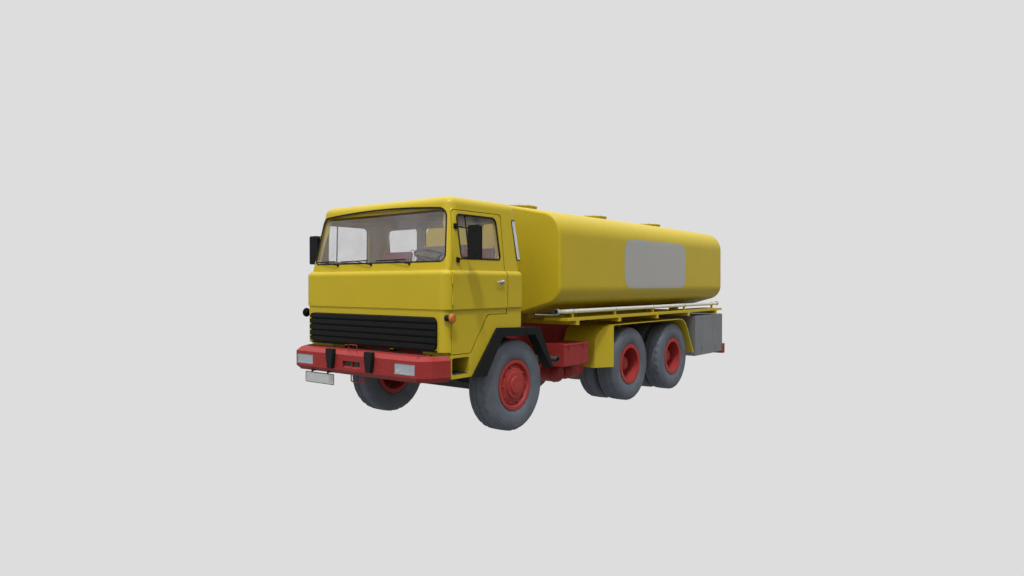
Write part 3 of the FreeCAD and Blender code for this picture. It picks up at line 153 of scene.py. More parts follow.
def plain(name, colour, roughness=0.6, metallic=0.0, grain=120.0, depth=0.12, mottle=0.12, scale=9.0,
          stretch=(1, 1, 1), gloss=0.5):
    """Moulded plastic, rubber or metal: colour and gloss drift over a fine grain."""
    material = bpy.data.materials.new(name)
    tree, shader, place = shader_nodes(material)
    drift = noise(tree, place, scale, 6.0, stretch)
    dark = tuple(c * (1 - mottle) for c in colour)
    light = tuple(min(1.0, c * (1 + mottle)) for c in colour)
    spread = ranged(tree, drift, 0.3, 0.7)
    tree.links.new(mixed(tree, spread, dark, light), shader.inputs["Base Color"])
    tree.links.new(ranged(tree, drift, 0.3, 0.7, max(0.02, roughness - 0.06), min(1, roughness + 0.08)),
                   shader.inputs["Roughness"])
    shader.inputs["Metallic"].default_value = metallic
    shader.inputs["Specular IOR Level"].default_value = gloss
    bump(tree, shader, noise(tree, place, grain, 3.0, stretch), depth)
    return material


def galvanised_steel(name):
    """Zinc with vertical streaks and cloudy crystals."""
    material = bpy.data.materials.new(name)
    tree, shader, place = shader_nodes(material)
    cells = tree.nodes.new("ShaderNodeTexVoronoi")
    cells.inputs["Scale"].default_value = 34.0
    tree.links.new(place, cells.inputs["Vector"])
    streaks = noise(tree, place, 26.0, 6.0, (1, 1, 0.08))
    cloud = noise(tree, place, 3.0, 4.0)
    base = mixed(tree, ranged(tree, streaks, 0.35, 0.65), (0.10, 0.108, 0.115), (0.20, 0.21, 0.225))
    base = mixed(tree, ranged(tree, cloud, 0.3, 0.7, 0.0, 0.5), base, (0.19, 0.195, 0.205))
    crystal = ranged(tree, cells.outputs["Distance"], 0.0, 0.5, 0.0, 0.25)
    base = mixed(tree, crystal, base, (0.34, 0.35, 0.37))
    tree.links.new(base, shader.inputs["Base Color"])
    tree.links.new(ranged(tree, streaks, 0.3, 0.7, 0.42, 0.62), shader.inputs["Roughness"])
    shader.inputs["Metallic"].default_value = 0.35
    bump(tree, shader, streaks, 0.12)
    return material


def clear_glass(name, tint, alpha, roughness=0.06):
    """Thin glass: mostly see-through, with a faint haze of dust."""
    material = bpy.data.materials.new(name)
    tree, shader, place = shader_nodes(material)
    haze = noise(tree, place, 5.0, 5.0)
    tree.links.new(mixed(tree, haze, tuple(c * 0.92 for c in tint), tint), shader.inputs["Base Color"])
    tree.links.new(ranged(tree, haze, 0.3, 0.7, alpha - 0.03, alpha + 0.03), shader.inputs["Alpha"])
    tree.links.new(ranged(tree, haze, 0.3, 0.7, roughness, roughness + 0.06), shader.inputs["Roughness"])
    shader.inputs["IOR"].default_value = 1.5
    return material


def ribbed(name, colour, scale, roughness=0.2, transmission=0.0):
    """Moulded lens: fine ribs one way."""
    material = bpy.data.materials.new(name)
    tree, shader, place = shader_nodes(material)
    waves = tree.nodes.new("ShaderNodeTexWave")
    waves.inputs["Scale"].default_value = scale
    waves.inputs["Distortion"].default_value = 0.3
    tree.links.new(place, waves.inputs["Vector"])
    tree.links.new(mixed(tree, waves.outputs["Fac"], tuple(c * 0.72 for c in colour), colour),
                   shader.inputs["Base Color"])
    shader.inputs["Roughness"].default_value = roughness
    shader.inputs["Transmission Weight"].default_value = transmission
    bump(tree, shader, waves.outputs["Fac"], 0.5)
    return material


def leather(name, colour):
    """Seat leathercloth: pebbled grain with worn, slightly paler patches."""
    material = bpy.data.materials.new(name)
    tree, shader, place = shader_nodes(material)
    cells = tree.nodes.new("ShaderNodeTexVoronoi")
    cells.inputs["Scale"].default_value = 240.0
    tree.links.new(place, cells.inputs["Vector"])
    worn = ranged(tree, noise(tree, place, 5.0, 5.0), 0.35, 0.7)
    base = mixed(tree, worn, colour, tuple(min(1, c * 1.35 + 0.02) for c in colour))
    tree.links.new(base, shader.inputs["Base Color"])
    tree.links.new(ranged(tree, worn, 0.0, 1.0, 0.58, 0.44), shader.inputs["Roughness"])
    shader.inputs["Sheen Weight"].default_value = 0.1
    bump(tree, shader, cells.outputs["Distance"], 0.35, 0.001)
    return material


YELLOW = (0.47, 0.355, 0.014)
RED = (0.27, 0.020, 0.019)

mats = {
    "yellow_paint": paint("yellow_paint", YELLOW),
    "red_paint": paint("red_paint", RED, roughness=0.5, coat=0.05),
    "rim_paint": paint("rim_paint", (0.33, 0.026, 0.024), roughness=0.48),
    "tyre": plain("tyre", (0.098, 0.112, 0.135), 0.72, grain=180.0, depth=0.2, mottle=0.16, scale=6.0),
    "dark_metal": plain("dark_metal", (0.055, 0.055, 0.055), 0.6, 0.4),
    "black_rubber": plain("black_rubber", (0.012, 0.013, 0.013), 0.62, gloss=0.15),
    "black_plastic": plain("black_plastic", (0.008, 0.009, 0.009), 0.52, gloss=0.15),
    "glass": clear_glass("glass", (0.55, 0.54, 0.58), 0.12),
    "lamp_glass": ribbed("lamp_glass", (0.30, 0.33, 0.35), 9.0, 0.12, 0.3),
    "amber_plastic": ribbed("amber_plastic", (0.62, 0.20, 0.02), 14.0, 0.25, 0.15),
    "seat_fabric": leather("seat_fabric", (0.40, 0.07, 0.07)),
    "seat_metal": plain("seat_metal", (0.05, 0.05, 0.055), 0.5),
    "galvanised": galvanised_steel("galvanised"),
    "white_paint": paint("white_paint", (0.62, 0.62, 0.58), roughness=0.35, dust=0.1, dust_and_shade_top=2.0),
    "ladder_metal": paint("ladder_metal", YELLOW),
}
extra = {
    "chrome": plain("chrome", (0.62, 0.63, 0.64), 0.16, 1.0, depth=0.02, mottle=0.05),
    "reflector": plain("reflector", (0.75, 0.77, 0.78), 0.12, 1.0, depth=0.02, mottle=0.05),
    "lens_clear": clear_glass("lens_clear", (0.50, 0.56, 0.60), 0.42),
    "red_lens": ribbed("red_lens", (0.42, 0.02, 0.02), 14.0, 0.25, 0.1),
    "sign_panel": plain("sign_panel", (0.36, 0.355, 0.33), 0.5, depth=0.03, mottle=0.04, scale=2.0),
    "plate_white": plain("plate_white", (0.44, 0.45, 0.44), 0.45, depth=0.05, mottle=0.06),
    "piping": leather("piping", (0.55, 0.42, 0.36)),
    "headliner": plain("headliner", (0.50, 0.46, 0.50), 0.85, grain=300.0, depth=0.25),
    "cab_lining": plain("cab_lining", (0.50, 0.45, 0.27), 0.8, grain=200.0, depth=0.1),
    "pane": plain("pane", (0.52, 0.53, 0.53), 0.15, depth=0.02, mottle=0.05),
    "steering_grey": plain("steering_grey", (0.13, 0.14, 0.17), 0.5),
}

for record_material in frame["record"]["materials"]:
    slot_name = record_material["slot"]
    for node in nodes.values():
        for slot in node.material_slots:
            if slot.material and slot.material.name.split(".")[0] == slot_name:
                slot.material = mats[slot_name]


# Builders

def full_turn(count):
    """Angles of a full turn in equal steps."""
    return [2 * math.pi * k / count for k in range(count)]


def finish_mesh(name, bm, body, material, slot=None, bevel=0.0, smooth=True, segments=2):
    """Turns a bmesh into a piece that rides on a body, with rounded edges if asked for."""
    bmesh.ops.recalc_face_normals(bm, faces=bm.faces)
    mesh = bpy.data.meshes.new(name)
    bm.to_mesh(mesh)
    bm.free()
    piece = bpy.data.objects.new(name, mesh)
    bpy.context.scene.collection.objects.link(piece)
    mesh.materials.append(mats.get(material) or extra[material])
    if smooth:
        mesh.shade_smooth()
        mesh.set_sharp_from_angle(angle=math.radians(35))
    if bevel:
        modifier = piece.modifiers.new("edges", "BEVEL")
        modifier.width = bevel
        modifier.segments = segments
        modifier.limit_method = "ANGLE"
        modifier.angle_limit = math.radians(35)
        modifier.harden_normals = False
    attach(piece, body)
    return piece


def add_box(bm, low, high):
    low, high = Vector(low), Vector(high)
    size = high - low
    matrix = Matrix.Translation((low + high) / 2) @ Matrix.Diagonal((*size, 1))
    return bmesh.ops.create_cube(bm, size=1, matrix=matrix)["verts"]


def add_lathe(bm, profile, centre, axis, steps=32, turn=None):
    """Turns (radius, along) points round an axis through a centre."""
    axis = Vector(axis).normalized()
    across = axis.orthogonal().normalized()
    other = axis.cross(across)
    rings = []
    for step in range(steps):
        angle = 2 * math.pi * step / steps
        away = across * math.cos(angle) + other * math.sin(angle)
        rings.append([bm.verts.new(Vector(centre) + away * radius + axis * along) for radius, along in profile])
    for step in range(steps):
        near, far = rings[step], rings[(step + 1) % steps]
        for i in range(len(profile) - 1):
            bm.faces.new((near[i], far[i], far[i + 1], near[i + 1]))
    bmesh.ops.remove_doubles(bm, verts=[v for ring in rings for v in ring], dist=1e-6)


def add_tube(bm, points, radius, sides=10, closed=False, flat=None):
    """Round or flattened bar along points; flat is (direction, share) that thins it."""
    points = [Vector(p) for p in points]
    count = len(points)
    rings = []
    guide = None
    for i, point in enumerate(points):
        before = points[i - 1] if closed or i else point
        after = points[(i + 1) % count] if closed or i < count - 1 else point
        along = (after - before).normalized()
        if guide is None:
            guide = along.orthogonal()
        guide = (guide - along * guide.dot(along)).normalized()
        other = along.cross(guide)
        ring = []
        for side in range(sides):
            angle = 2 * math.pi * side / sides
            away = (guide * math.cos(angle) + other * math.sin(angle)) * radius
            if flat:
                direction, share = flat
                direction = Vector(direction).normalized()
                away -= direction * away.dot(direction) * (1 - share)
            ring.append(bm.verts.new(point + away))
        rings.append(ring)
    spans = count if closed else count - 1
    for i in range(spans):
        near, far = rings[i], rings[(i + 1) % count]
        for side in range(sides):
            nxt = (side + 1) % sides
            bm.faces.new((near[side], near[nxt], far[nxt], far[side]))
    if not closed:
        bm.faces.new(rings[0][::-1])
        bm.faces.new(rings[-1])


def add_prism(bm, corners, to_point, low, high):
    """Closed prism over flat corners; to_point(a, b, level) gives the place in the frame."""
    bottom = [bm.verts.new(to_point(a, b, low)) for a, b in corners]
    top = [bm.verts.new(to_point(a, b, high)) for a, b in corners]
    bm.faces.new(bottom)
    bm.faces.new(top[::-1])
    count = len(corners)
    for i in range(count):
        nxt = (i + 1) % count
        bm.faces.new((bottom[i], bottom[nxt], top[nxt], top[i]))


def along_x(a, b, level):
    return Vector((level, a, b))


def along_y(a, b, level):
    return Vector((a, level, b))


def along_z(a, b, level):
    return Vector((a, b, level))


def rounded(corners, step=12):
    """Polygon with rounded corners; a corner is (a, b) or (a, b, radius)."""
    out = []
    count = len(corners)
    for i, corner in enumerate(corners):
        here = Vector(corner[:2])
        radius = corner[2] if len(corner) > 2 else 0
        if not radius:
            out.append(tuple(here))
            continue
        back = (Vector(corners[i - 1][:2]) - here).normalized()
        on = (Vector(corners[(i + 1) % count][:2]) - here).normalized()
        half = back.angle(on) / 2
        reach = radius / math.tan(half)
        centre = here + (back + on).normalized() * radius / math.sin(half)
        start = here + back * reach - centre
        end = here + on * reach - centre
        turn = start.angle(end)
        steps = max(2, int(math.degrees(turn) / step) + 1)
        if radius > 3:
            steps = 24
        sign = 1 if start.cross(end) > 0 else -1
        for k in range(steps + 1):
            angle = sign * turn * k / steps
            cos, sin = math.cos(angle), math.sin(angle)
            out.append((centre.x + start.x * cos - start.y * sin, centre.y + start.x * sin + start.y * cos))
    return out


def divided(points, longest, closed=True):
    """Points with no span longer than a length."""
    out = []
    count = len(points)
    for i in range(count if closed else count - 1):
        near, far = Vector(points[i]), Vector(points[(i + 1) % count])
        steps = max(1, math.ceil((far - near).length / longest))
        out += [tuple(near.lerp(far, k / steps)) for k in range(steps)]
    if not closed:
        out.append(tuple(points[-1]))
    return out


def add_hex(bm, centre, axis, across, tall):
    """Six-sided bolt head with a domed end."""
    r = across / 2
    add_lathe(bm, [(0, 0), (r, 0), (r, tall * 0.7), (r * 0.75, tall), (0, tall)], centre, axis, 6)


def both(bm_function, name, body_left, body_right, material, **options):
    """Builds a piece on the driver's side and its mirror image on the other side."""
    made = []
    for side, body in ((1, body_left), (-1, body_right)):
        bm = bmesh.new()
        bm_function(bm, side)
        made.append(finish_mesh("%s_%s" % (name, "left" if side > 0 else "right"), bm, body, material, **options))
    return made


# Tyres

TYRE_RADIUS = 0.548
HALF_WIDTH = 0.150
# Half section as (across, radius) from the bead to the middle of the tread.
SIDEWALL = [
    (0.115, 0.257), (0.119, 0.298), (0.128, 0.305), (0.138, 0.330), (0.146, 0.365), (0.1495, 0.405),
    (0.1495, 0.440), (0.1465, 0.470), (0.1415, 0.497), (0.133, 0.518), (0.122, 0.533),
]
TREAD_ACROSS = (0.118, 0.106, 0.092, 0.076, 0.070, 0.062, 0.044, 0.026, 0.020, 0.010, 0.0)
TREAD_STEPS = 180


def tread_radius(across, step):
    """Radius of the tread: crowned ribs, zigzag grooves and slots at the shoulder."""
    crown = TYRE_RADIUS - 0.004 * (abs(across) / 0.118) ** 2 - (0.006 if abs(across) > 0.110 else 0)
    phase = step % 6
    depth = 0.0
    if 0.060 < abs(across) < 0.072 or 0.008 < abs(across) < 0.024:
        depth = 0.011
    elif abs(across) > 0.090 and phase in (0, 1):
        depth = 0.010
    elif 0.024 < abs(across) < 0.060 and phase == (3 if across > 0 else 0):
        depth = 0.006
    return crown - depth


def add_tyre(bm, centre_x, y):
    tread = list(TREAD_ACROSS) + [-a for a in TREAD_ACROSS[-2::-1]]
    columns = len(SIDEWALL) * 2 + len(tread)
    rings = []
    for step in range(TREAD_STEPS):
        angle = 2 * math.pi * step / TREAD_STEPS
        sweep = 0.004 * math.sin(math.pi * step / 3)
        points = [(a, r) for a, r in SIDEWALL]
        points += [(a + (sweep if abs(a) < 0.08 else 0), tread_radius(a, step)) for a in tread]
        points += [(-a, r) for a, r in reversed(SIDEWALL)]
        rings.append([bm.verts.new((centre_x + a, y + r * math.sin(angle), AXLE_Z + r * math.cos(angle)))
                      for a, r in points])
    for step in range(TREAD_STEPS):
        near, far = rings[step], rings[(step + 1) % TREAD_STEPS]
        for i in range(columns - 1):
            bm.faces.new((near[i], near[i + 1], far[i + 1], far[i]))
        bm.faces.new((near[-1], near[0], far[0], far[-1]))


def add_sidewall_rings(bm, centre_x, y, side):
    """Low moulded rings on the outer side of a tyre."""
    for radius, across in ((0.318, 0.1335), (0.455, 0.1480), (0.487, 0.1435)):
        circle = [(centre_x + side * across, y + radius * math.sin(a), AXLE_Z + radius * math.cos(a))
                  for a in full_turn(96)]
        add_tube(bm, circle, 0.0024, 6, closed=True)


WHEELS = [
    ("front_left", 1, FRONT_AXLE_Y, False), ("front_right", -1, FRONT_AXLE_Y, False),
    ("mid_left", 1, MID_AXLE_Y, True), ("mid_right", -1, MID_AXLE_Y, True),
    ("rear_left", 1, REAR_AXLE_Y, True), ("rear_right", -1, REAR_AXLE_Y, True),
]

for wheel, side, axle_y, twin in WHEELS:
    bm = bmesh.new()
    for centre in ((1.050, 0.715) if twin else (1.050,)):
        add_tyre(bm, side * centre, axle_y)
        add_sidewall_rings(bm, side * centre, axle_y, side)
    tyre = finish_mesh("treaded_tyre_" + wheel, bm, "wheel_" + wheel, "tyre")
    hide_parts("tyre_" + wheel)

    bm = bmesh.new()
    if twin:
        nut_radius, nut_x, count = 0.132, 0.917, 10
    else:
        nut_radius, nut_x, count = 0.216, 1.150, 10
    for i in range(count):
        angle = 2 * math.pi * (i + 0.5) / count
        spot = (side * nut_x, axle_y + nut_radius * math.sin(angle), AXLE_Z + nut_radius * math.cos(angle))
        add_hex(bm, spot, (side, 0, 0), 0.030, 0.022)
        add_lathe(bm, [(0, 0), (0.009, 0), (0.009, 0.030), (0, 0.032)], spot, (side, 0, 0), 10)
    hub_x = 1.1985 if not twin else 1.0985
    for i in range(8):
        angle = 2 * math.pi * i / 8
        spot = (side * hub_x, axle_y + 0.062 * math.sin(angle), AXLE_Z + 0.062 * math.cos(angle))
        add_hex(bm, spot, (side, 0, 0), 0.017, 0.010)
    finish_mesh("wheel_nuts_" + wheel, bm, "wheel_" + wheel, "rim_paint", bevel=0.0)


# Cab surface, for what sits on it

GLASS_LOW, GLASS_HIGH = 1.900, 2.712
CAB_REAR_Y = -2.3605


def share_up(z):
    return (z - GLASS_LOW) / (GLASS_HIGH - GLASS_LOW)


def front_y(x, z):
    """y of the glasshouse's front face."""
    up = share_up(z)
    half = 1.197 - 0.084 * up
    radius = 0.045 + 0.085 * up
    face = -3.6345 + 0.119 * up
    over = max(0.0, abs(x) - (half - radius))
    return face + radius - math.sqrt(max(0.0, radius * radius - min(over, radius) ** 2))


def side_x(z):
    """x of the cab's side."""
    if z > GLASS_LOW:
        return 1.197 - 0.084 * share_up(z)
    return 1.245 if z > 1.476 else 1.227


def rear_y(x, z):
    """y of the cab's back wall."""
    up = share_up(z)
    half = 1.197 - 0.084 * up
    radius = 0.110 + 0.020 * up
    over = max(0.0, abs(x) - (half - radius))
    return CAB_REAR_Y - radius + math.sqrt(max(0.0, radius * radius - min(over, radius) ** 2))


SCREEN = rounded([(-1.140, 1.990, 0.070), (1.140, 1.990, 0.070), (1.066, 2.572, 0.110), (0, 2.646, 12.0),
                  (-1.066, 2.572, 0.110)])
SIDE_WINDOW = rounded([(-3.4155, 2.027, 0.045), (-2.7455, 2.027, 0.045), (-2.7805, 2.507, 0.075),
                       (-3.4435, 2.507, 0.045)])
CORNER_WINDOW = rounded([(0.563, 2.050, 0.060), (1.128, 2.050, 0.060), (1.118, 2.505, 0.060),
                         (0.563, 2.505, 0.060)])
BACK_WINDOW = rounded([(-0.436, 2.240, 0.040), (0.436, 2.240, 0.040), (0.436, 2.500, 0.040),
                       (-0.436, 2.500, 0.040)])

bm = bmesh.new()
line = [(x, front_y(x, z) + 0.003, z) for x, z in divided(SCREEN, 0.04)]
add_tube(bm, line, 0.010, 8, closed=True, flat=((0, 1, 0), 0.7))
finish_mesh("screen_seal", bm, "cab", "black_rubber")

# Windscreen frame with its opening cut clear through to the cab's inner side
bm = bmesh.new()
bm.from_mesh(nodes["cab_screen_frame"].data)
bm.transform(nodes["cab_screen_frame"].matrix_world)
screen_frame = finish_mesh("screen_frame", bm, "cab", "yellow_paint", smooth=False)
bm = bmesh.new()
add_prism(bm, [(x * 0.999, 2.300 + (z - 2.300) * 0.998) for x, z in SCREEN], along_y, -3.600, -3.380)
opening = finish_mesh("screen_opening", bm, "cab", "yellow_paint", smooth=False)
cut = screen_frame.modifiers.new("opening", "BOOLEAN")
cut.operation = "DIFFERENCE"
cut.solver = "EXACT"
cut.object = opening
shaped = bpy.data.meshes.new_from_object(screen_frame.evaluated_get(bpy.context.evaluated_depsgraph_get()))
screen_frame.modifiers.clear()
screen_frame.data = shaped
bpy.data.objects.remove(opening)
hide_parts("cab_screen_frame")

bm = bmesh.new()
for side in (1, -1):
    line = [(side * x, rear_y(x, z) - 0.003, z) for x, z in divided(CORNER_WINDOW, 0.03)]
    add_tube(bm, line, 0.009, 8, closed=True)
line = [(x, rear_y(x, z) - 0.003, z) for x, z in divided(BACK_WINDOW, 0.05)]
add_tube(bm, line, 0.009, 8, closed=True)
finish_mesh("rear_window_seals", bm, "cab", "black_rubber")

# The corner windows run on round the corner to the side of the cab
CORNER_PANE_LONG = 0.060
for side, name in ((1, "left"), (-1, "right")):
    bm = bmesh.new()
    rows = []
    for k in range(17):
        z = 2.035 + 0.470 * k / 16
        near = -2.440 - 0.045 * (k / 16)
        rows.append([bm.verts.new((side * (side_x(z) + 0.0012), near + CORNER_PANE_LONG * u, z))
                     for u in (0.0, 0.5, 1.0)])
    for low_row, high_row in zip(rows, rows[1:]):
        for u in (0, 1):
            bm.faces.new((low_row[u], low_row[u + 1], high_row[u + 1], high_row[u]))
    finish_mesh("corner_pane_" + name, bm, "cab", "pane", slot="glass")
    bm = bmesh.new()
    line = [(side * (side_x(z) + 0.001), y, z) for y, z in ((-2.380, 2.030), (-2.425, 2.032), (-2.441, 2.050),
                                                           (-2.463, 2.270), (-2.486, 2.490), (-2.474, 2.508),
                                                           (-2.430, 2.510))]
    add_tube(bm, line, 0.0065, 8)
    finish_mesh("corner_seal_" + name, bm, "cab", "black_rubber")


DIVIDER_Y = -3.2775


def door_seal(bm, side):
    """Seal round a door's window, with the upright that divides the glass."""
    line = [(side * (side_x(z) - 0.003), y, z) for y, z in divided(SIDE_WINDOW, 0.05)]
    add_tube(bm, line, 0.0105, 8, closed=True)
    divider = [(side * (side_x(z) - 0.016), DIVIDER_Y + (2.267 - z) * 0.05, z) for z in (2.030, 2.2, 2.35, 2.505)]
    add_tube(bm, divider, 0.008, 8)


both(door_seal, "window_seal", "door_left", "door_right", "black_rubber")


# Wipers

bm = bmesh.new()
for pivot_x in (-0.669, -0.052, 0.596):
    z = 1.972
    y = front_y(pivot_x, z)
    add_lathe(bm, [(0, 0), (0.015, 0), (0.015, 0.016), (0.009, 0.022), (0, 0.022)],
              (pivot_x, y + 0.004, z), (0, -1, 0.1), 14)
    tip = (pivot_x - 0.30, front_y(pivot_x - 0.30, 2.022) - 0.022, 2.022)
    add_tube(bm, [(pivot_x, y - 0.020, z), (pivot_x - 0.10, y - 0.021, 1.990), tip], 0.005, 6)
    blade = [(pivot_x - 0.30 + d, front_y(pivot_x - 0.30 + d, 2.020 + 0.010 * d) - 0.012, 2.020 + 0.014 * d)
             for d in (-0.26, -0.13, 0.0, 0.13, 0.24)]
    add_tube(bm, blade, 0.007, 6, flat=((0, 1, 0), 0.6))
finish_mesh("wipers", bm, "cab", "black_plastic")


# Doors: handle, lock, inner panel and window crank

def door_handle(bm, side):
    x = side * 1.245
    y, z = -2.8115, 1.773
    add_prism(bm, rounded([(y - 0.018, z - 0.014, 0.008), (y + 0.048, z - 0.014, 0.008),
                           (y + 0.048, z + 0.022, 0.008), (y - 0.018, z + 0.022, 0.008)]),
              lambda a, b, level: Vector((side * level, a, b)), 1.2445, 1.2525)
    add_lathe(bm, [(0, 0), (0.017, 0), (0.017, 0.026), (0.013, 0.031), (0, 0.032)],
              (x, y + 0.022, z + 0.002), (side, 0, 0), 18)
    lever = [(x + side * 0.020, y + 0.022, z + 0.002), (x + side * 0.026, y - 0.020, z - 0.002),
             (x + side * 0.024, y - 0.070, z - 0.006), (x + side * 0.019, y - 0.090, z - 0.008)]
    add_tube(bm, lever, 0.009, 10, flat=((side, 0, 0), 0.6))
    add_lathe(bm, [(0, 0), (0.010, 0), (0.010, 0.005), (0, 0.006)], (x, y + 0.018, z - 0.045), (side, 0, 0), 14)


both(door_handle, "door_handle", "door_left", "door_right", "chrome")


def door_trim(bm, side):
    """Flat panel with an armrest and a window crank on the inner side of a door."""
    corners = rounded([(-3.560, 1.130, 0.03), (-3.270, 1.130, 0.03), (-2.960, 1.470, 0.03), (-2.730, 1.470, 0.03),
                       (-2.730, 1.830, 0.03), (-3.560, 1.830, 0.03)])
    add_prism(bm, corners, lambda a, b, level: Vector((side * level, a, b)), 1.172, 1.1815)
    add_prism(bm, rounded([(-3.30, 1.640, 0.02), (-2.86, 1.640, 0.02), (-2.86, 1.680, 0.02), (-3.30, 1.700, 0.02)]),
              lambda a, b, level: Vector((side * level, a, b)), 1.115, 1.175)
    crank = (side * 1.172, -3.36, 1.60)
    add_lathe(bm, [(0, 0), (0.022, 0), (0.018, 0.020), (0, 0.022)], crank, (-side, 0, 0), 16)
    add_tube(bm, [(side * 1.148, -3.36, 1.60), (side * 1.140, -3.31, 1.56), (side * 1.130, -3.27, 1.53)], 0.006, 8)


both(door_trim, "door_trim", "door_left", "door_right", "black_plastic", bevel=0.002)


# Mirrors

def mirror_face(bm, side):
    corners = rounded([(1.333, 2.022, 0.018), (1.467, 2.022, 0.018), (1.467, 2.358, 0.018), (1.333, 2.358, 0.018)])
    add_prism(bm, corners, lambda a, b, level: Vector((side * a, level, b)), -3.4160, -3.4135)


def mirror_mounts(bm, side):
    """Brackets on the door frame with their bolts, and the clamp plates on the mirror's front."""
    for y, z in ((-3.478, 2.374), (-3.478, 2.007)):
        x = side_x(z)
        add_prism(bm, rounded([(y - 0.022, z - 0.030, 0.01), (y + 0.022, z - 0.030, 0.01),
                               (y + 0.022, z + 0.030, 0.01), (y - 0.022, z + 0.030, 0.01)]),
                  lambda a, b, level: Vector((side * level, a, b)), x - 0.004, x + 0.016)
        for shift in (-0.018, 0.018):
            add_hex(bm, (side * (x + 0.015), y, z + shift), (side, 0, 0), 0.014, 0.007)
    for z in (2.332, 2.052):
        add_box(bm, (min(side * 1.375, side * 1.425), -3.4645, z - 0.018),
                (max(side * 1.375, side * 1.425), -3.4595, z + 0.018))


both(mirror_face, "mirror_glass", "door_left", "door_right", "reflector")
both(mirror_mounts, "mirror_mounts", "door_left", "door_right", "black_plastic", bevel=0.0015)


# Indicators, in place of the plain lamps

INDICATOR_Y, INDICATOR_Z = -3.6555, 1.387


def indicator_arm(bm, side):
    """Tapered arm from the corner, ending in a thin ring behind the lens."""
    root = Vector((side * 1.196, INDICATOR_Y - 0.012, INDICATOR_Z))
    tip = Vector((side * 1.266, INDICATOR_Y, INDICATOR_Z))
    way = tip - root
    long = way.length
    add_lathe(bm, [(0.036, 0), (0.031, 0.3 * long), (0.024, 0.8 * long), (0.030, long), (0, long)], root, way, 24)
    add_lathe(bm, [(0.0, 0.0), (0.034, 0.0), (0.0572, 0.0105), (0.0572, 0.0135), (0.0, 0.0135)],
              (side * 1.262, INDICATOR_Y, INDICATOR_Z), (side, 0, 0), 40)


def indicator_lens(bm, side):
    base = (side * 1.2725, INDICATOR_Y, INDICATOR_Z)
    profile = [(0, 0.0272), (0.010, 0.0270)]
    for ring in range(6):
        radius = 0.014 + ring * 0.0065
        profile += [(radius, 0.0258 - ring * ring * 0.0004), (radius + 0.0030, 0.0270 - ring * ring * 0.0004)]
    profile += [(0.0535, 0.010), (0.0560, 0.0), (0, 0.0)]
    add_lathe(bm, profile, base, (side, 0, 0), 48)


arms = both(indicator_arm, "indicator_arm", "cab", "cab", "black_plastic")
lenses = both(indicator_lens, "indicator_lens", "cab", "cab", "amber_plastic")
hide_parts("indicators")


# Inside the cab

def shell_ring(inset, z):
    """Outline of the glasshouse at a height, drawn in by an inset, as (x, y, radius)."""
    up = share_up(z)
    half = 1.197 - 0.084 * up - inset
    face = -3.6345 + 0.119 * up + inset
    back = CAB_REAR_Y - inset
    near, far = 0.045 + 0.085 * up, 0.110 + 0.020 * up
    return rounded([(-half, face, near), (half, face, near), (half, back, far), (-half, back, far)])


# Ceiling that curves down to the tops of the windows
bm = bmesh.new()
rings = []
for inset, z in ((0.048, 2.585), (0.049, 2.615), (0.056, 2.640), (0.075, 2.654), (0.110, 2.660), (0.300, 2.663),
                 (0.700, 2.664)):
    rings.append([bm.verts.new((x, y, z)) for x, y in shell_ring(inset, z)])
for near, far in zip(rings, rings[1:]):
    for k in range(len(near)):
        nxt = (k + 1) % len(near)
        bm.faces.new((near[k], near[nxt], far[nxt], far[k]))
bm.faces.new(rings[-1])
finish_mesh("headliner", bm, "cab", "headliner")

# Lining of the walls round the windows, seen through the glass
bm = bmesh.new()
for side in (1, -1):
    for y0, y1, z0, z1 in ((-2.64, -2.42, 1.92, 2.58), (-3.40, -2.70, 2.525, 2.555)):
        rows = [[bm.verts.new((side * (side_x(z) - 0.0465), y, z)) for y in (y0, y1)] for z in (z0, z1)]
        bm.faces.new((rows[0][0], rows[0][1], rows[1][1], rows[1][0]))
for x0, x1, z0, z1 in ((-1.10, 1.10, 1.92, 2.045), (-0.555, -0.445, 2.045, 2.58), (0.445, 0.555, 2.045, 2.58),
                       (-1.10, 1.10, 2.510, 2.58), (-0.445, 0.445, 2.045, 2.235)):
    bm.faces.new([bm.verts.new((x, CAB_REAR_Y - 0.0465, z)) for x, z in ((x0, z0), (x1, z0), (x1, z1), (x0, z1))])
finish_mesh("cab_lining", bm, "cab", "cab_lining", slot="seat_fabric", smooth=False)

bm = bmesh.new()
for centre_x, centre_z, radius in ((0.620, 1.812, 0.050), (0.745, 1.812, 0.050), (0.690, 1.745, 0.030)):
    add_lathe(bm, [(radius * 0.86, 0.0), (radius, 0.002), (radius, 0.012), (radius * 0.9, 0.014),
                   (radius * 0.86, 0.006), (0, 0.005)], (centre_x, -3.402, centre_z), (0, 0.88, 0.47), 28)
for i in range(5):
    add_box(bm, (0.20 + i * 0.045, -3.452, 1.775), (0.228 + i * 0.045, -3.440, 1.800))
finish_mesh("dash_dials", bm, "cab", "black_plastic")

# Seats

bm = bmesh.new()
add_lathe(bm, [(0.0, 0.0), (0.010, 0.0), (0.010, 0.30), (0.016, 0.31), (0.024, 0.33), (0.020, 0.355), (0, 0.36)],
          (0.02, -3.06, 1.266), (0, -0.12, 1), 18)
finish_mesh("gear_lever", bm, "cab", "black_plastic")


def pad_shape(corners, x_low, x_high):
    """Closed pad over a (y, z) outline, ready for inflating."""
    bm = bmesh.new()
    add_prism(bm, corners, along_x, x_low, x_high)
    bmesh.ops.recalc_face_normals(bm, faces=bm.faces)
    mesh = bpy.data.meshes.new("pad")
    bm.to_mesh(mesh)
    bm.free()
    return mesh


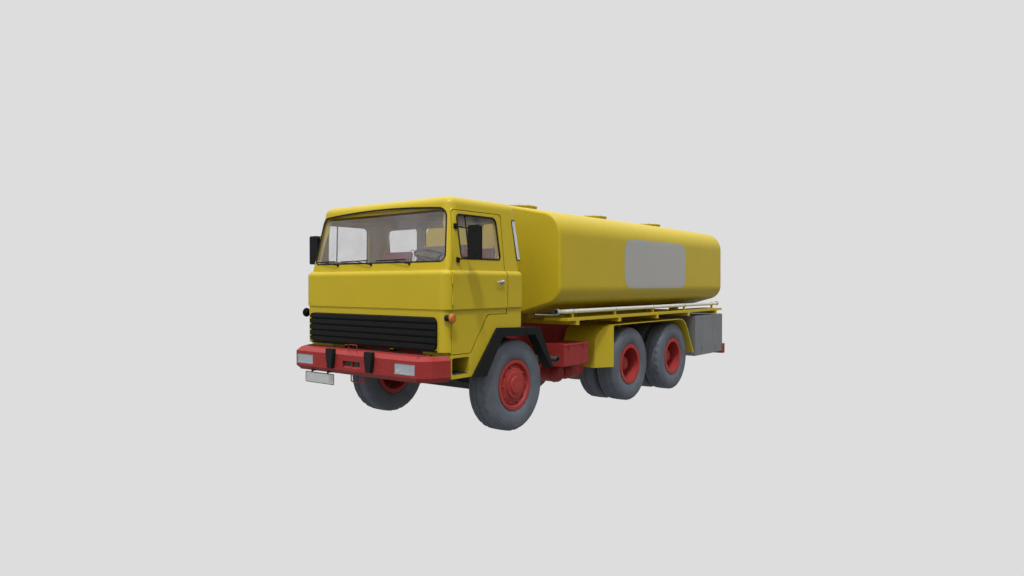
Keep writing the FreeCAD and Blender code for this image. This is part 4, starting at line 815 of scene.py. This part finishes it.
def inflate(piece, cap):
    """Blows a pad up with cloth pressure and caps how far each point goes."""
    rest = [v.co.copy() for v in piece.data.vertices]
    cloth = piece.modifiers.new("cloth", "CLOTH")
    cloth.settings.use_pressure = True
    cloth.settings.uniform_pressure_force = 4.0
    cloth.settings.effector_weights.gravity = 0.0
    cloth.settings.quality = 4
    scene = bpy.context.scene
    for number in range(1, 21):
        scene.frame_set(number)
    shaped = piece.evaluated_get(bpy.context.evaluated_depsgraph_get())
    moved = [v.co.copy() for v in shaped.data.vertices]
    piece.modifiers.remove(cloth)
    for vertex, start, end in zip(piece.data.vertices, rest, moved):
        shift = end - start
        if shift.length > cap:
            shift = shift.normalized() * cap
        vertex.co = start + shift
    scene.frame_set(1)


def soft_pad(name, corners, x_low, x_high, cap=0.014):
    mesh = pad_shape(corners, x_low, x_high)
    piece = bpy.data.objects.new(name, mesh)
    bpy.context.scene.collection.objects.link(piece)
    remesh = piece.modifiers.new("remesh", "REMESH")
    remesh.mode = "VOXEL"
    remesh.voxel_size = 0.012
    shaped = bpy.data.meshes.new_from_object(piece.evaluated_get(bpy.context.evaluated_depsgraph_get()))
    piece.modifiers.clear()
    piece.data = shaped
    inflate(piece, cap)
    smooth = piece.modifiers.new("smooth", "SMOOTH")
    smooth.iterations = 6
    piece.modifiers.new("finer", "SUBSURF").levels = 1
    piece.modifiers["finer"].render_levels = 1
    shaped = bpy.data.meshes.new_from_object(piece.evaluated_get(bpy.context.evaluated_depsgraph_get()))
    piece.modifiers.clear()
    piece.data = shaped
    shaped.materials.clear()
    shaped.materials.append(mats["seat_fabric"])
    shaped.shade_smooth()
    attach(piece, "cab")
    return piece


PAD_DEPTH = 0.014
for side, seat in ((1, "driver"), (-1, "passenger")):
    low_x, high_x = sorted((side * (0.446 + PAD_DEPTH), side * (0.976 - PAD_DEPTH)))
    base = rounded([(-3.1015, 1.518, 0.05), (-2.6395, 1.518, 0.03), (-2.6395, 1.628, 0.03), (-3.1015, 1.646, 0.05)])
    back = rounded([(-2.6965, 1.660, 0.025), (-2.6065, 1.656, 0.025), (-2.5485, 2.194, 0.04),
                    (-2.6185, 2.194, 0.04)])
    cushion = soft_pad("seat_cushion_" + seat, base, low_x, high_x)
    rest = soft_pad("seat_back_" + seat, back, low_x, high_x)
    if side > 0:
        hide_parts("seat_cushions")

    bm = bmesh.new()
    for edge_x in (side * 0.452, side * 0.970):
        for corners in (base, back):
            centre = Vector((sum(a for a, b in corners) / len(corners), sum(b for a, b in corners) / len(corners)))
            line = []
            for a, b in corners:
                point = Vector((a, b))
                point += (point - centre).normalized() * 0.006
                line.append((edge_x, point.x, point.y))
            add_tube(bm, divided(line, 0.04), 0.0055, 8, closed=True)
    finish_mesh("seat_piping_" + seat, bm, "cab", "piping", slot="seat_fabric")


# Bumper: headlamps, recess, tow pin, loops, bolts and the blank plate

BUMPER_FRONT = -3.9615
LAMP = (0.716, 1.029, 0.789, 0.904)
# Half of the plan, from the wrapped end to the middle, as (x, y).
BUMPER_PLAN = [(1.245, -3.6475), (1.165, -3.845), (1.045, BUMPER_FRONT), (LAMP[1], BUMPER_FRONT),
               (LAMP[0], BUMPER_FRONT), (0.150, BUMPER_FRONT)]
# Levels of the section as (z, inset).
BUMPER_LEVELS = [(0.710, 0.075), (0.710, 0.055), (0.762, 0.0), (LAMP[2], 0.0), (0.792, 0.0), (0.872, 0.0),
                 (LAMP[3], 0.0), (0.940, 0.0), (0.985, 0.062)]


def bumper_row(z, inset):
    """Points of one level from the left end to the right end."""
    half = []
    for x, y in BUMPER_PLAN:
        across = inset * (0.6 if y > -3.70 else 1.0)
        pull = inset if y < -3.90 else inset * (0.55 if y < -3.70 else 0.0)
        at_corner = 1.0 if x > 1.1 else (0.45 if x > 1.04 else 0.0)
        half.append((x - across * at_corner, y + pull, z))
    return half + [(-x, y, z) for x, y, z in reversed(half)]


def in_hole(x0, x1, z0, z1):
    """True for the patches of the front face that the headlamps and the tow recess take."""
    middle_x, middle_z = abs(x0 + x1) / 2, (z0 + z1) / 2
    lamp = LAMP[0] < middle_x < LAMP[1] and LAMP[2] < middle_z < LAMP[3]
    return lamp or (middle_x < 0.150 and 0.792 < middle_z < 0.872)


bm = bmesh.new()
rows = [[bm.verts.new(point) for point in bumper_row(z, inset)] for z, inset in BUMPER_LEVELS]
for low_row, high_row in zip(rows, rows[1:]):
    for k in range(len(low_row) - 1):
        corners = (low_row[k], low_row[k + 1], high_row[k + 1], high_row[k])
        if not in_hole(corners[0].co.x, corners[1].co.x, corners[0].co.z, corners[2].co.z):
            bm.faces.new(corners)
top_back = [bm.verts.new((v.co.x, -3.7485 if abs(v.co.x) < 1.10 else v.co.y, v.co.z)) for v in rows[-1]]
for k in range(len(top_back) - 1):
    bm.faces.new((rows[-1][k], rows[-1][k + 1], top_back[k + 1], top_back[k]))
bmesh.ops.recalc_face_normals(bm, faces=bm.faces)
for face in list(bm.faces):
    if face.normal.length == 0:
        bm.faces.remove(face)
bumper = finish_mesh("bumper_skin", bm, "chassis", "red_paint", smooth=False)
skin = bumper.modifiers.new("wall", "SOLIDIFY")
skin.thickness = 0.006
skin.offset = -1.0
rounding = bumper.modifiers.new("edges", "BEVEL")
rounding.width = 0.006
rounding.segments = 2
rounding.limit_method = "ANGLE"
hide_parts("front_bumper")

bm = bmesh.new()
for side in (1, -1):
    x0, x1 = sorted((side * LAMP[0], side * LAMP[1]))
    for low, high in (((x0 - 0.004, LAMP[2] - 0.004), (x1 + 0.004, LAMP[2])),
                      ((x0 - 0.004, LAMP[3]), (x1 + 0.004, LAMP[3] + 0.004)),
                      ((x0 - 0.004, LAMP[2]), (x0, LAMP[3])), ((x1, LAMP[2]), (x1 + 0.004, LAMP[3]))):
        add_box(bm, (low[0], BUMPER_FRONT + 0.001, low[1]), (high[0], BUMPER_FRONT + 0.043, high[1]))
    add_box(bm, (x0, BUMPER_FRONT + 0.041, LAMP[2]), (x1, BUMPER_FRONT + 0.043, LAMP[3]))
    stay = sorted((side * 0.380, side * 0.420))
    add_box(bm, (stay[0], BUMPER_FRONT + 0.006, 0.805), (stay[1], -3.6300, 0.855))
for low, high in (((-0.154, 0.788), (0.154, 0.792)), ((-0.154, 0.872), (0.154, 0.876)),
                  ((-0.154, 0.792), (-0.150, 0.872)), ((0.150, 0.792), (0.154, 0.872))):
    add_box(bm, (low[0], BUMPER_FRONT + 0.001, low[1]), (high[0], BUMPER_FRONT + 0.032, high[1]))
finish_mesh("bumper_pockets", bm, "chassis", "red_paint", smooth=False)

# Black lip between the bumper and the grille, and black covers on the tilt arms
TILT_Y, TILT_Z = -3.7175, 0.970
bm = bmesh.new()
add_box(bm, (-1.080, -3.7505, 0.984), (1.080, -3.7480, 0.9990))
finish_mesh("bumper_lip", bm, "chassis", "black_rubber", smooth=False)
bm = bmesh.new()
add_box(bm, (-1.098, -3.7005, 1.0195), (1.098, -3.6970, 1.0365))
for side in (1, -1):
    low, high = sorted((side * 0.374, side * 0.426))
    nose = [(TILT_Y - 0.0212 * math.cos(math.radians(turn)), TILT_Z + 0.0212 * math.sin(math.radians(turn)))
            for turn in range(-90, 91, 15)]
    add_prism(bm, nose + [(TILT_Y, 1.0195), (-3.6500, 1.0195), (-3.6500, TILT_Z - 0.0212)], along_x, low, high)
finish_mesh("tilt_arm_covers", bm, "cab", "black_plastic")


def headlamp_frame(bm, side):
    x0, x1, z0, z1 = LAMP
    outer = rounded([(x0 + 0.002, z0 + 0.002, 0.012), (x1 - 0.002, z0 + 0.002, 0.012),
                     (x1 - 0.002, z1 - 0.002, 0.012), (x0 + 0.002, z1 - 0.002, 0.012)])
    line = [(side * x, BUMPER_FRONT + 0.004, z) for x, z in outer]
    add_tube(bm, divided(line, 0.05), 0.0035, 8, closed=True)


def headlamp_reflector(bm, side):
    x0, x1, z0, z1 = LAMP
    columns, rows = 24, 10
    grid = []
    for i in range(columns + 1):
        row = []
        for j in range(rows + 1):
            u, v = i / columns, j / rows
            x = x0 + 0.004 + (x1 - x0 - 0.008) * u
            z = z0 + 0.004 + (z1 - z0 - 0.008) * v
            far = min(1.0, math.hypot((u - 0.5) * 1.7, (v - 0.5) * 1.9))
            facet = 0.0015 * math.sin(u * 19) * math.sin(v * 9)
            row.append(bm.verts.new((side * x, BUMPER_FRONT + 0.010 + 0.028 * (1 - far * far) + facet, z)))
        grid.append(row)
    for i in range(columns):
        for j in range(rows):
            bm.faces.new((grid[i][j], grid[i + 1][j], grid[i + 1][j + 1], grid[i][j + 1]))
    middle = side * (x0 + x1) / 2
    add_lathe(bm, [(0, -0.022), (0.012, -0.020), (0.014, -0.006), (0.010, 0.0), (0, 0.0)],
              (middle, BUMPER_FRONT + 0.036, (z0 + z1) / 2), (0, 1, 0), 16)


def headlamp_lens(bm, side):
    x0, x1, z0, z1 = LAMP
    corners = rounded([(x0 + 0.005, z0 + 0.005, 0.010), (x1 - 0.005, z0 + 0.005, 0.010),
                       (x1 - 0.005, z1 - 0.005, 0.010), (x0 + 0.005, z1 - 0.005, 0.010)])
    add_prism(bm, corners, lambda a, b, level: Vector((side * a, level, b)), BUMPER_FRONT + 0.002,
              BUMPER_FRONT + 0.006)


frames = both(headlamp_frame, "headlamp_frame", "chassis", "chassis", "chrome")
both(headlamp_reflector, "headlamp_reflector", "chassis", "chassis", "reflector")
both(headlamp_lens, "headlamp_lens", "chassis", "chassis", "lens_clear", slot="lamp_glass", bevel=0.001)


TAIL_Y = 4.0125


def tail_lamp(bm, side, start, end):
    low, high = sorted((side * start, side * end))
    corners = rounded([(low, 0.474, 0.006), (high, 0.474, 0.006), (high, 0.578, 0.006), (low, 0.578, 0.006)])
    add_prism(bm, corners, along_y, TAIL_Y - 0.030, TAIL_Y - 0.003)


def tail_housing(bm, side):
    low, high = sorted((side * 0.8515, side * 1.1285))
    add_prism(bm, [(low, 0.4715), (high, 0.4715), (high, 0.5805), (low, 0.5805)], along_y, TAIL_Y - 0.043,
              TAIL_Y - 0.028)


both(tail_housing, "tail_housing", "chassis", "chassis", "black_plastic")
tails = both(lambda bm, side: tail_lamp(bm, side, 0.953, 1.035), "tail_lamp", "chassis", "chassis", "red_lens",
             slot="lamp_glass", bevel=0.002)
both(lambda bm, side: tail_lamp(bm, side, 1.039, 1.122), "turn_lamp", "chassis", "chassis", "amber_plastic",
     bevel=0.002)
both(lambda bm, side: tail_lamp(bm, side, 0.858, 0.949), "reverse_lamp", "chassis", "chassis", "lamp_glass",
     bevel=0.002)
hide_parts("lamps")

bm = bmesh.new()
loop = rounded([(-0.118, 0.720), (-0.118, 0.628, 0.020), (0.118, 0.628, 0.020), (0.118, 0.720)])
add_tube(bm, [(x, -3.8675, z) for x, z in loop], 0.007, 10)
handle = rounded([(-0.070, 0.978), (-0.070, 1.058, 0.012), (0.070, 1.058, 0.012), (0.070, 0.978)])
add_tube(bm, [(x, -3.9375, z) for x, z in handle], 0.0045, 8)
finish_mesh("bumper_loops", bm, "chassis", "red_paint")

bm = bmesh.new()
add_box(bm, (-0.149, BUMPER_FRONT + 0.029, 0.793), (0.149, BUMPER_FRONT + 0.032, 0.871))
for x in (-0.105, 0.035):
    add_box(bm, (x, BUMPER_FRONT + 0.016, 0.836), (x + 0.070, BUMPER_FRONT + 0.031, 0.852))
finish_mesh("tow_recess_back", bm, "chassis", "dark_metal")

bm = bmesh.new()
add_prism(bm, [(BUMPER_FRONT + 0.030, 0.792), (BUMPER_FRONT + 0.002, 0.792), (BUMPER_FRONT + 0.018, 0.812),
               (BUMPER_FRONT + 0.030, 0.812)], along_x, -0.149, 0.149)
add_tube(bm, [(0, BUMPER_FRONT + 0.014, 0.800), (0, BUMPER_FRONT + 0.014, 0.876)], 0.010, 12)
finish_mesh("tow_pin", bm, "chassis", "red_paint", bevel=0.002)

bm = bmesh.new()
for side in (1, -1):
    for x in (0.200, 0.470):
        for z in (0.800, 0.900):
            add_lathe(bm, [(0, 0.006), (0.006, 0.0055), (0.012, 0.003), (0.014, 0), (0, 0)],
                      (side * x, BUMPER_FRONT + 0.0005, z), (0, -1, 0), 14)
    for z in (0.830, 0.960):
        add_hex(bm, (side * 0.340, -4.0118, z), (0, -1, 0), 0.018, 0.0002)
finish_mesh("bumper_bolts", bm, "chassis", "red_paint")

bm = bmesh.new()
add_prism(bm, rounded([(-0.880, 0.575, 0.008), (-0.340, 0.575, 0.008), (-0.340, 0.695, 0.008),
                       (-0.880, 0.695, 0.008)]), along_y, -3.9430, -3.9400)
finish_mesh("number_plate_front", bm, "chassis", "plate_white", slot="lamp_glass", bevel=0.001)

bm = bmesh.new()
plate_rim = rounded([(-0.880, 0.575, 0.008), (-0.340, 0.575, 0.008), (-0.340, 0.695, 0.008), (-0.880, 0.695, 0.008)])
add_tube(bm, [(x, -3.9425, z) for x, z in divided(plate_rim, 0.1)], 0.004, 6, closed=True)
for x in (-0.76, -0.46):
    add_box(bm, (x - 0.015, -3.9400, 0.640), (x + 0.015, -3.9360, 0.730))
    add_box(bm, (x - 0.015, -3.9400, 0.706), (x + 0.015, -3.8900, 0.711))
finish_mesh("plate_holder", bm, "chassis", "black_plastic")


# Tank: signs, seams, lid fittings

TANK_FRONT, TANK_LONG = -1.6075, 5.370
TANK_HALF, SHOULDER, HAUNCH = 1.240, 0.322, 0.250
SHOULDER_Z, HAUNCH_Z = 2.380, 1.720
SIGN_LOW, SIGN_HIGH, SIGN_CORNER = (0.0625, 1.680), (2.1625, 2.420), 0.20
BEAM_SHARES = (0.0745, 0.2821, 0.5047, 0.7225, 0.946)
LID_YS = (-0.9094, 1.0775, 3.0644)


def tank_side_x(z):
    """x of the tank's side between its rounded shoulders."""
    if z > SHOULDER_Z:
        return TANK_HALF - (SHOULDER - math.sqrt(SHOULDER ** 2 - (z - SHOULDER_Z) ** 2))
    if z < HAUNCH_Z:
        return TANK_HALF - (HAUNCH - math.sqrt(HAUNCH ** 2 - (HAUNCH_Z - z) ** 2))
    return TANK_HALF


def sign(bm, side):
    """Blank panel that follows the tank's side."""
    rows, columns = 24, 16
    (start, low), (end, high), corner = SIGN_LOW, SIGN_HIGH, SIGN_CORNER
    lines = []
    for k in range(rows + 1):
        z = low + (high - low) * k / rows
        over = max(0.0, abs(z - (low + high) / 2) - ((high - low) / 2 - corner))
        inset = corner - math.sqrt(max(0.0, corner ** 2 - min(over, corner) ** 2))
        lines.append([bm.verts.new((side * (tank_side_x(z) + 0.0015), y, z))
                      for y in [start + inset + (end - start - 2 * inset) * i / columns
                                for i in range(columns + 1)]])
    for k in range(rows):
        for i in range(columns):
            bm.faces.new((lines[k][i], lines[k][i + 1], lines[k + 1][i + 1], lines[k + 1][i]))


both(sign, "sign_panel", "chassis", "chassis", "sign_panel", slot="white_paint")


def tank_section(out):
    """Outline of the tank grown by a distance, as (x, z)."""
    return rounded([(0, 2.892 + out, 1.7 + out), (1.240 + out, 2.644 + out, 0.322 + out),
                    (1.240 + out, 1.530 - out, 0.250 + out), (0.540, 1.335 - out, 0.700),
                    (-0.540, 1.335 - out, 0.700), (-1.240 - out, 1.530 - out, 0.250 + out),
                    (-1.240 - out, 2.644 + out, 0.322 + out)], 8)


bm = bmesh.new()
for y in (-1.530, 3.620):
    add_tube(bm, [(x, y, z) for x, z in divided(tank_section(-0.0006), 0.15)], 0.0022, 6, closed=True)
finish_mesh("tank_welds", bm, "chassis", "yellow_paint")

for number, y in enumerate(LID_YS, start=1):
    bm = bmesh.new()
    for i in range(12):
        angle = 2 * math.pi * (i + 0.5) / 12
        add_hex(bm, (0.255 * math.cos(angle), y + 0.255 * math.sin(angle), 2.8800), (0, 0, 1), 0.022, 0.0095)
    finish_mesh("lid_bolts_%d" % number, bm, "lid_%d" % number, "galvanised")

# Walkways: tread plates and pipe clamps

bm = bmesh.new()
for side in (1, -1):
    low, high = sorted((side * 0.885, side * 1.120))
    y = -1.400
    while y < 3.70:
        add_box(bm, (low, y, 1.2995), (high, y + 0.006, 1.3035))
        y += 0.040
finish_mesh("walkway_treads", bm, "chassis", "yellow_paint")

bm = bmesh.new()
for side in (1, -1):
    for share in BEAM_SHARES:
        y = TANK_FRONT + share * TANK_LONG
        ring = [(side * 1.160 + 0.0295 * math.cos(a), y, 1.385 + 0.0295 * math.sin(a))
                for a in full_turn(20)]
        add_tube(bm, ring, 0.004, 6, closed=True)
        add_hex(bm, (side * 1.160, y, 1.415), (0, 0, 1), 0.012, 0.008)
finish_mesh("pipe_clamps", bm, "chassis", "galvanised")

bm = bmesh.new()
for side in (1, -1):
    front = (side * 1.115, -1.5215, 1.385)
    add_lathe(bm, [(0.026, 0.0), (0.040, 0.0), (0.040, 0.006), (0.028, 0.006)], front, (0, -1, 0), 28)
finish_mesh("pipe_collars", bm, "chassis", "galvanised")
bm = bmesh.new()
for side in (1, -1):
    front = (side * 1.115, -1.5205, 1.385)
    add_lathe(bm, [(0.0, 0.0), (0.028, 0.0005), (0.028, 0.004), (0, 0.0035)], front, (0, -1, 0), 24)
finish_mesh("pipe_plugs", bm, "chassis", "black_rubber")

# Lockers, battery box and gear on the frame

def locker_trim(bm, side):
    x = 1.245
    for z in (0.500, 1.135):
        add_box(bm, (min(side * x, side * (x + 0.003)), 2.545, z), (max(side * x, side * (x + 0.003)), 3.760, z + 0.012))
    for y in (2.545, 3.748):
        add_box(bm, (min(side * x, side * (x + 0.003)), y, 0.500), (max(side * x, side * (x + 0.003)), y + 0.012, 1.147))
    for y in (2.85, 3.45):
        add_prism(bm, rounded([(y - 0.045, 0.585, 0.01), (y + 0.045, 0.585, 0.01), (y + 0.045, 0.645, 0.01),
                               (y - 0.045, 0.645, 0.01)]), lambda a, b, level: Vector((side * level, a, b)),
                  1.2445, 1.2490)
        add_tube(bm, [(side * 1.249, y - 0.025, 0.618), (side * 1.262, y - 0.015, 0.618),
                      (side * 1.262, y + 0.015, 0.618), (side * 1.249, y + 0.025, 0.618)], 0.004, 8)


both(locker_trim, "locker_trim", "locker_door_left", "locker_door_right", "galvanised", bevel=0.001)

bm = bmesh.new()
for y in (-1.31, -0.965):
    add_box(bm, (1.1795, y - 0.014, 0.885), (1.1905, y + 0.014, 0.948))
    add_tube(bm, [(1.1905, y - 0.010, 0.900), (1.199, y, 0.900), (1.1905, y + 0.010, 0.900)], 0.003, 6)
for y in (-1.41, -1.23, -1.05, -0.87):
    add_hex(bm, (1.1795, y, 0.690), (1, 0, 0), 0.018, 0.008)
finish_mesh("battery_latches", bm, "chassis", "red_paint", bevel=0.001)

bm = bmesh.new()
y_across = -2.4755 + 0.5708 * 2.260
for x in (0.66, 0.86):
    ring = [(x, y_across + 0.1215 * math.cos(a), 0.535 + 0.1215 * math.sin(a))
            for a in full_turn(40)]
    add_tube(bm, ring, 0.006, 6, closed=True, flat=((0, 0, 1), 1.0))
for y in (-0.955, -0.690):
    ring = [(0.860 + 0.1065 * math.cos(a), y, 0.540 + 0.1065 * math.sin(a))
            for a in full_turn(40)]
    add_tube(bm, ring, 0.006, 6, closed=True)
add_hex(bm, (0.860, -0.822, 0.432), (0, 0, -1), 0.022, 0.012)
finish_mesh("reservoir_straps", bm, "chassis", "red_paint")

bm = bmesh.new()
for side in (1, -1):
    for station in range(24):
        y = -3.50 + station * 0.30
        for z in (0.835, 0.955):
            add_lathe(bm, [(0, 0.006), (0.007, 0.005), (0.011, 0), (0, 0)], (side * 0.4295, y, z), (side, 0, 0), 10)
finish_mesh("frame_rivets", bm, "chassis", "red_paint")

# Bolts round the wheel arches
bm_cab, bm_frame = bmesh.new(), bmesh.new()
for side in (1, -1):
    for y, z in ((-3.245, 0.830), (-3.120, 0.990), (-3.000, 1.140), (-2.790, 1.215), (-2.560, 1.210)):
        add_lathe(bm_cab, [(0, 0.005), (0.006, 0.004), (0.010, 0), (0, 0)], (side * 1.2595, y, z), (side, 0, 0), 12)
    for y, z in ((-2.300, 1.205), (-2.110, 1.180), (-1.960, 0.980), (-1.850, 0.790)):
        add_lathe(bm_frame, [(0, 0.005), (0.006, 0.004), (0.010, 0), (0, 0)], (side * 1.2595, y, z), (side, 0, 0), 12)
finish_mesh("arch_bolts_cab", bm_cab, "cab", "black_plastic")
finish_mesh("arch_bolts_frame", bm_frame, "chassis", "black_plastic")

# Steps in the recess beside the bumper
def step_plate(bm, side):
    low, high = sorted((side * 0.965, side * 1.222))
    add_box(bm, (low, -3.600, 0.779), (high, -3.345, 0.785))
    for i in range(6):
        y = -3.590 + i * 0.042
        add_box(bm, (low + 0.01, y, 0.785), (high - 0.01, y + 0.012, 0.791))


both(step_plate, "step_plate", "cab", "cab", "dark_metal")


# Backdrop, light and camera

BACKDROP = 0.723
AROUND = 0.30
ZENITH = 2.3
BACKDROP_WAY = (-0.622, 0.783, 0.0)

world = bpy.data.worlds.new("studio")
bpy.context.scene.world = world
world.use_nodes = True
tree = world.node_tree
way = tree.nodes.new("ShaderNodeTexCoord").outputs["Generated"]
towards = tree.nodes.new("ShaderNodeVectorMath")
towards.operation = "DOT_PRODUCT"
towards.inputs[1].default_value = BACKDROP_WAY
tree.links.new(way, towards.inputs[0])
behind_truck = ranged(tree, towards.outputs["Value"], 0.30, 0.45)
level = mixed(tree, behind_truck, (AROUND,) * 3, (BACKDROP,) * 3)
overhead = ranged(tree, height(tree, way), 0.52, 0.85)
level = mixed(tree, overhead, level, (ZENITH,) * 3)
tree.links.new(level, tree.nodes["Background"].inputs["Color"])


def floor_material():
    """Plain pale floor, as light as the backdrop, that throws only the room's own light on the truck."""
    material = bpy.data.materials.new("floor_pale")
    material.use_nodes = True
    tree = material.node_tree
    tree.nodes.clear()
    seen = tree.nodes.new("ShaderNodeLightPath").outputs["Is Camera Ray"]
    glow = tree.nodes.new("ShaderNodeEmission")
    tree.links.new(mixed(tree, seen, (AROUND,) * 3, (BACKDROP,) * 3), glow.inputs["Color"])
    output = tree.nodes.new("ShaderNodeOutputMaterial")
    tree.links.new(glow.outputs["Emission"], output.inputs["Surface"])
    return material


bm = bmesh.new()
bmesh.ops.create_grid(bm, x_segments=1, y_segments=1, size=200.0)
floor_mesh = bpy.data.meshes.new("floor")
bm.to_mesh(floor_mesh)
bm.free()
floor_mesh.materials.append(floor_material())
floor = bpy.data.objects.new("floor", floor_mesh)
floor.location.z = -0.002
bpy.context.scene.collection.objects.link(floor)


def add_sun(name, energy, angle, way):
    sun = bpy.data.lights.new(name, "SUN")
    sun.energy = energy
    sun.angle = math.radians(angle)
    lamp = bpy.data.objects.new(name, sun)
    lamp.rotation_euler = Vector(way).to_track_quat("-Z", "Y").to_euler()
    bpy.context.scene.collection.objects.link(lamp)


add_sun("key", 1.75, 4, (-0.27, 0.35, -0.90))
add_sun("fill", 0.9, 60, (0.0, 1.0, -0.15))

camera = bpy.data.cameras.new("photo_view")
camera.lens = 24.44
camera.sensor_width = 36.0
camera_object = bpy.data.objects.new("photo_view", camera)
camera_object.location = (6.301, -8.9755, 1.743)
camera_object.rotation_euler = (math.radians(89.703), 0.0, math.radians(38.455))
bpy.context.scene.collection.objects.link(camera_object)
bpy.context.scene.camera = camera_object
bpy.context.scene.view_settings.view_transform = "Standard"
